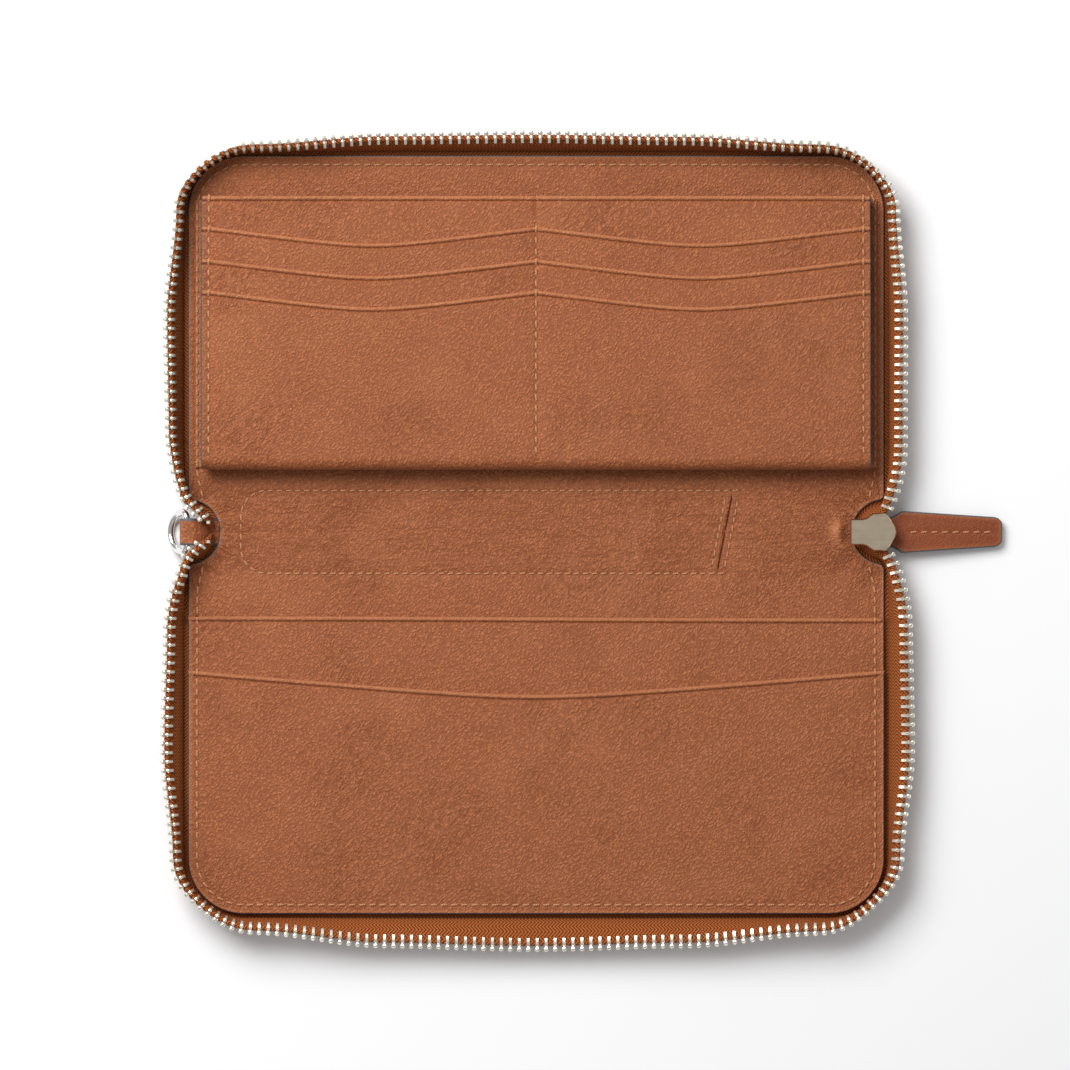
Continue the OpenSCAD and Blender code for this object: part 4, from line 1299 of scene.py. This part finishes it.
def insetOutline(points, amount):
    p = np.array(points, float)
    before = p - np.roll(p, 1, 0)
    after = np.roll(p, -1, 0) - p
    before /= np.maximum(np.linalg.norm(before, axis=1), 1e-9)[:, None]
    after /= np.maximum(np.linalg.norm(after, axis=1), 1e-9)[:, None]
    n = np.stack([-(before + after)[:, 1], (before + after)[:, 0]], 1)
    n /= np.maximum(np.linalg.norm(n, axis=1), 1e-9)[:, None]
    stretch = 1 / np.maximum((n * np.stack([-after[:, 1], after[:, 0]], 1)).sum(1), 0.6)
    return p + n * (amount * stretch)[:, None]


def platedSolid(name, outline, low, high, topBevel, lowBevel, materials, place=None):
    # an upright solid with rounded rims; the outline runs anticlockwise
    rings = [(low, lowBevel), (low + lowBevel * 0.3, lowBevel * 0.3), (low + lowBevel, 0)]
    rings += [(high - topBevel * 1.5, 0), (high, topBevel)]
    made = []
    for z, amount in rings:
        flat = insetOutline(outline, amount)
        made.append(np.column_stack([flat, np.full(len(flat), z)]))
    made = np.array(made)
    if place is not None:
        made = place(made.reshape(-1, 3)).reshape(made.shape)
    return loftMesh(name, made, materials, sharp=24)


half = [(sliderLow[0] + x, y) for x, y in sliderLook["outline"]]
sliderOutline = half[1:-1][::-1]
sliderOutline = [(x, -y) for x, y in half[1:-1]] + [half[-1]] + sliderOutline + [half[0]]
zLow, zHigh = sliderLow[2], sliderHigh[2]
plates = [
    platedSolid("plateTop", sliderOutline, zHigh - sliderLook["plate"], zHigh, sliderLook["bevel"], 0.15,
                [sliderMetal]),
    platedSolid("plateLow", sliderOutline, zLow, zLow + sliderLook["plate"], 0.15, 0.35, [sliderMetal]),
    platedSolid("post", [(sliderLow[0] + x, y) for x, y in ((7.8, 0), (9.8, -1.0), (11.4, 0), (9.8, 1.0))],
                zLow + sliderLook["plate"] - 0.05, zHigh - sliderLook["plate"] + 0.05, 0.05, 0.05, [sliderMetal]),
]
for end in (-1, 1):
    for low, high in ((zLow + 1.15, zLow + 1.85), (zHigh - 1.85, zHigh - 1.15)):
        y0, y1 = sorted((end * 2.75, end * 3.45))
        rail = [(sliderLow[0] + 0.1, y0), (sliderLow[0] + 3.5, y0), (sliderLow[0] + 3.5, y1), (sliderLow[0] + 0.1, y1)]
        plates.append(platedSolid("rail", rail, low, high, 0.12, 0.12, [sliderMetal]))
piece = joinPieces("sliderBody", plates)
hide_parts("slider_body")
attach(piece, "slider")


def sweepTube(name, path, radius, materials, closed=False, sides=14, flatten=1.0):
    # a round wire along a path
    p = np.array(path, float)
    tangent = np.roll(p, -1, 0) - np.roll(p, 1, 0) if closed else np.gradient(p, axis=0)
    tangent /= np.linalg.norm(tangent, axis=1)[:, None]
    first = np.cross(tangent[0], [0.3, 0.1, 0.95])
    normal = [first / np.linalg.norm(first)]
    for t in tangent[1:]:
        n = normal[-1] - t * (normal[-1] @ t)
        normal.append(n / np.linalg.norm(n))
    normal = np.array(normal)
    other = np.cross(tangent, normal)
    radius = np.broadcast_to(np.asarray(radius, float), (len(p),))
    rings = []
    for c, d in ((math.cos(a), math.sin(a)) for a in np.linspace(0, 2 * math.pi, sides, endpoint=False)):
        rings.append(p + radius[:, None] * (normal * c + other * d * flatten))
    return loftMesh(name, np.stack(rings, 1), materials, closedAlong=closed, sharp=50)


# the bridge under the slider, that the pull's link hangs in
bridgeLow, bridgeHigh = nodeBox("slider_bridge")
x0, x1 = bridgeLow[0], bridgeHigh[0]
drop = bridgeLow[2]
top = bridgeHigh[2]
curve = [(x0 + 0.6, top + 0.1), (x0 + 0.55, top - 1.3), (x0 + 0.75, drop + 0.9), (x0 + 1.5, drop + 0.62),
         (x1 - 1.5, drop + 0.62), (x1 - 0.75, drop + 0.9), (x1 - 0.55, top - 1.3), (x1 - 0.6, top + 0.1)]
line = np.array(fillLine(curve, 0.35, False))
kernel = np.ones(3) / 3
line = np.column_stack([np.convolve(np.concatenate([line[:1, i], line[:, i], line[-1:, i]]), kernel, "valid")
                        for i in (0, 1)])
tangent = np.gradient(line, axis=0)
tangent /= np.linalg.norm(tangent, axis=1)[:, None]
side2 = np.stack([-tangent[:, 1], tangent[:, 0]], 1)
rings = []
for p, n in zip(line, side2):
    section = []
    for y, h in ((1.15, 0.3), (0.85, 0.55), (-0.85, 0.55), (-1.15, 0.3), (-1.15, -0.3), (-0.85, -0.55), (0.85, -0.55),
                 (1.15, -0.3)):
        section.append((p[0] + n[0] * h, y, p[1] + n[1] * h))
    rings.append(section)
piece = loftMesh("sliderBridge", rings, [sliderMetal], sharp=35)
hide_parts("slider_bridge")
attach(piece, "slider")
print("slider done")


# pull
pivot = pivots["pull_swing"]
linkLow, linkHigh = nodeBox("pull_link")
pullLow, pullHigh = nodeBox("pull_upper_leather")
pull = {
    "drop": 4.1,               # degrees below level
    "wire": 0.7,
    "linkLength": 6.4,
    "linkHalf": 3.0,
    "ply": 1.18,
    "near": 3.0,               # where the leather begins, from the pivot
    "length": 31.1,
    # half of the leather's outline: distance from its near end, half width
    "outline": ((0.0, 0.0), (0.0, 3.5), (0.3, 3.85), (1.4, 4.1), (3.2, 5.2), (3.7, 5.5), (4.6, 5.65), (5.4, 5.6),
                (29.2, 4.05), (30.1, 3.7), (30.9, 2.9), (31.1, 2.4), (31.1, 0.0)),
}


def placePull(points):
    a = math.radians(pull["drop"])
    p = np.asarray(points, float)
    return np.column_stack([pivot[0] + p[:, 0] * math.cos(a) + p[:, 2] * math.sin(a), pivot[1] + p[:, 1],
                            pivot[2] - p[:, 0] * math.sin(a) + p[:, 2] * math.cos(a)])


def overLink(points, reach):
    # room for the link's wires between the two plies
    x, y = points[:, 0], points[:, 1]
    bar = np.where(np.abs(y) < pull["linkHalf"] + 0.7, np.abs(x - pull["linkLength"]), 9)
    rail = np.where(x < pull["linkLength"] + 0.7, np.abs(np.abs(y) - pull["linkHalf"]), 9)
    return np.sqrt(np.maximum(0, reach ** 2 - np.minimum(bar, rail) ** 2))


half = [(x + pull["near"], y) for x, y in pull["outline"]]
pullOutline = fillLine([(x, -y) for x, y in half] + half[::-1][1:-1], 0.6)
middle = [(pull["near"] + 5.6, 0.0), (pull["near"] + pull["length"] - 2.6, 0.0)]


def pullTop(points):
    x, y = points[:, 0], points[:, 1]
    z = pull["ply"] - 0.24 * smooth(6.0, 4.4, x) + 0.08 * np.cos(np.clip(y / 5.4, -1, 1) * math.pi / 2) * smooth(6, 9, x)
    z = z + 0.04 * noiseAt(points, 0.2, 60.0)
    gap = distanceTo(points, middle, False)
    return z - 0.16 * np.exp(-(gap / 0.45) ** 2)


for name, node, flip in (("pullUpperLeather", "pull_upper_leather", 1), ("pullLowerLeather", "pull_lower_leather", -1)):
    def place(points, flip=flip):
        return placePull(points * np.array([1, 1, flip]))
    piece = leatherPanel(name, pullOutline, pullTop, lambda p: overLink(p, 0.72) * 0.97 + 0.01,
                         [pullLeather, edgePaint, fleshSide], grid=0.9, lines=[middle], edgeRound=0.5, band=0.42,
                         rings=(0.1, 0.22, 0.38, 0.6, 0.95, 1.4), seed=70.0 + flip, place=place)
    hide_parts(node)
    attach(piece, "pull")

rows = threadRows("pullThread", [middle], pullTop, place=placePull, radius=0.27, length=2.0)
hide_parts("pull_thread")
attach(rows, "pull")

h, n = pull["linkHalf"], pull["linkLength"]
loop = arc(n - 0.9, h - 0.9, 0.9, 0, 90, 0.2) + arc(0.9, h - 0.9, 0.9, 90, 180, 0.2)
loop += arc(0.9, 0.9 - h, 0.9, 180, 270, 0.2) + arc(n - 0.9, 0.9 - h, 0.9, 270, 360, 0.2)
loop = fillLine(loop, 0.5)
piece = sweepTube("pullLink", placePull(np.column_stack([np.array(loop), np.zeros(len(loop))])), pull["wire"],
                  [sliderMetal], closed=True)
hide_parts("pull_link")
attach(piece, "pull")
print("pull done")


# strap ring and its tab
bar = pivots["ring_swing"]
ringLook = {"wire": 0.95, "radius": 5.2, "arm": 1.0, "drop": 48.0, "corner": 1.5}
r, k = ringLook["radius"], ringLook["corner"]
flatRing = arc(-k, r - k, k, 0, 90, 0.25) + arc(-ringLook["arm"] - 0.6, 0, r, 90, 270, 0.5)
flatRing += arc(-k, k - r, k, 270, 360, 0.25)
flatRing = fillLine(flatRing, 0.5)
a = math.radians(ringLook["drop"])
ringPath = [(bar[0] + u * math.cos(a), bar[1] + v, bar[2] + u * math.sin(a)) for u, v in flatRing]
piece = sweepTube("strapRing", ringPath, ringLook["wire"], [ringMetal], closed=True, sides=18)
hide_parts("strap_ring")
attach(piece, "ring")

tab = {"half": 3.6, "thick": 1.0, "loop": 1.45}
side2 = [(-85.6, 1.62, 0.3), (-86.9, 1.95, 0.5), (-88.2, 3.0, 0.9), (-89.4, 4.7, 1.0), (-90.7, 6.1, 1.0),
         (-92.4, 7.05, 1.0)]
side2 += [(x, z, 0.82) for x, z in arc(bar[0], bar[2], tab["loop"], 78, 282, 0.35)]
side2 += [(-92.4, 4.15, 1.0), (-90.4, 3.2, 1.0), (-88.4, 2.0, 0.8), (-86.9, 1.42, 0.4), (-85.6, 1.36, 0.25)]
line = np.array(side2)
length = np.concatenate([[0], np.cumsum(np.linalg.norm(np.diff(line[:, :2], axis=0), axis=1))])
s = np.arange(0, length[-1], 0.3)
line = np.column_stack([np.interp(s, length, line[:, i]) for i in range(3)])
for _ in range(3):
    line[1:-1] = (line[:-2] + 2 * line[1:-1] + line[2:]) / 4
tangent = np.gradient(line[:, :2], axis=0)
tangent /= np.linalg.norm(tangent, axis=1)[:, None]
away = np.stack([tangent[:, 1], -tangent[:, 0]], 1)
if away[len(line) // 2, 0] > 0:
    away = -away
across = [-3.6, -3.5, -3.3, -3.0, -2.4, -1.6, -0.8, 0, 0.8, 1.6, 2.4, 3.0, 3.3, 3.5, 3.6]
rings = []
for (x, z, thick), n in zip(line, away):
    section = []
    for y in across:
        round0 = 0.3 - math.sqrt(max(0.0, 0.09 - max(0.0, abs(y) - 3.3) ** 2))
        section.append((x + n[0] * (thick / 2 - round0), y, z + n[1] * (thick / 2 - round0)))
    for y in reversed(across):
        round0 = 0.3 - math.sqrt(max(0.0, 0.09 - max(0.0, abs(y) - 3.3) ** 2))
        section.append((x - n[0] * (thick / 2 - round0), y, z - n[1] * (thick / 2 - round0)))
    rings.append(section)
rings = np.array(rings)
hide = np.stack([np.repeat(s[:, None], rings.shape[1], 1), rings[:, :, 1], np.zeros(rings.shape[:2])], 2)
piece = loftMesh("ringTab", rings, [pocketLeather, edgePaint], hide=hide.reshape(-1, 3), sharp=60)
for face in piece.data.polygons:
    ys = [abs(piece.data.vertices[i].co.y) / mm for i in face.vertices]
    face.material_index = 1 if min(ys) > 2.95 else 0
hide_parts("ring_tab")
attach(piece, "spine")

stops = []
stopLow, stopHigh = nodeBox("top_stops")
for end in (-1, 1):
    y = end * (stopHigh[1] - 0.6)
    outline = [(stopLow[0] + 0.1, y - 0.6), (stopHigh[0] - 0.1, y - 0.6), (stopHigh[0] - 0.1, y + 0.6),
               (stopLow[0] + 0.1, y + 0.6)]
    stops.append(platedSolid("stop", outline, stopLow[2] - 0.9, stopHigh[2] - 1.2, 0.25, 0.25, [toothMetal]))
piece = joinPieces("topStops", stops)
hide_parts("top_stops")
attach(piece, "spine")
print("ring, tab and stops done")


# carried-over pieces that stay mostly hidden
def boardMaterial(name, dark, light, scale):
    material, tree, shader = newMaterial(name)
    place = addNode(tree, "ShaderNodeTexCoord").outputs["Object"]
    fibre = addNode(tree, "ShaderNodeTexNoise", {"Vector": place, "Scale": scale, "Detail": 5.0}).outputs["Fac"]
    tree.links.new(blendColours(tree, fibre, dark, light), shader.inputs["Base Color"])
    bump = addNode(tree, "ShaderNodeBump", {"Height": fibre, "Distance": 0.05 * mm}).outputs[0]
    tree.links.new(bump, shader.inputs["Normal"])
    shader.inputs["Roughness"].default_value = 0.9
    return material


coverBoard = boardMaterial("coverBoard", (0.20, 0.14, 0.09, 1), (0.42, 0.32, 0.22, 1), 1800.0)
bagCloth = boardMaterial("bagCloth", (0.16, 0.09, 0.05, 1), (0.32, 0.20, 0.12, 1), 2600.0)
for node, material in (("back_board", coverBoard), ("front_board", coverBoard), ("pen_pocket_bag", bagCloth),
                       ("tail_tape", bagCloth), ("bottom_stop", toothMetal), ("front_gussets", fleshSide)):
    mesh = frame["nodes"][node].data
    mesh.materials.clear()
    mesh.materials.append(material)


# camera, light and floor
view = {"height": 1.6, "at": (-0.31, -0.81), "lens": 199.0}
camera = bpy.data.objects.new("camera", bpy.data.cameras.new("camera"))
bpy.context.scene.collection.objects.link(camera)
bpy.context.scene.camera = camera
camera.data.sensor_width = 36
camera.data.lens = view["lens"]
camera.location = (view["at"][0] * mm, view["at"][1] * mm, view["height"])
camera.data.clip_end = 20

floor = bpy.data.objects.new("floor", bpy.data.meshes.new("floor"))
floor.data.from_pydata([(-3, -3, 0), (3, -3, 0), (3, 3, 0), (-3, 3, 0)], [], [(0, 1, 2, 3)])
floorMaterial, floorTree, floorShader = newMaterial("paleFloor")
floorShader.inputs["Base Color"].default_value = (0.88, 0.88, 0.885, 1)
floorShader.inputs["Roughness"].default_value = 0.95
floorShader.inputs["Specular IOR Level"].default_value = 0.1
floor.data.materials.append(floorMaterial)
bpy.context.scene.collection.objects.link(floor)


def areaLight(name, at, energy, size, colour=(1, 1, 1)):
    data = bpy.data.lights.new(name, "AREA")
    data.energy = energy
    data.size = size
    data.color = colour
    lamp = bpy.data.objects.new(name, data)
    lamp.location = at
    lamp.rotation_euler = (-Vector(at)).to_track_quat("-Z", "Y").to_euler()
    bpy.context.scene.collection.objects.link(lamp)


areaLight("key", (-0.42, 0.54, 0.80), 13.4, 0.66)
world = bpy.data.worlds.new("studio")
world.use_nodes = True
world.node_tree.nodes["Background"].inputs[0].default_value = (1, 1, 1, 1)
world.node_tree.nodes["Background"].inputs[1].default_value = 0.42
bpy.context.scene.world = world
bpy.context.scene.view_settings.view_transform = "Standard"

print("camera, light and floor done")
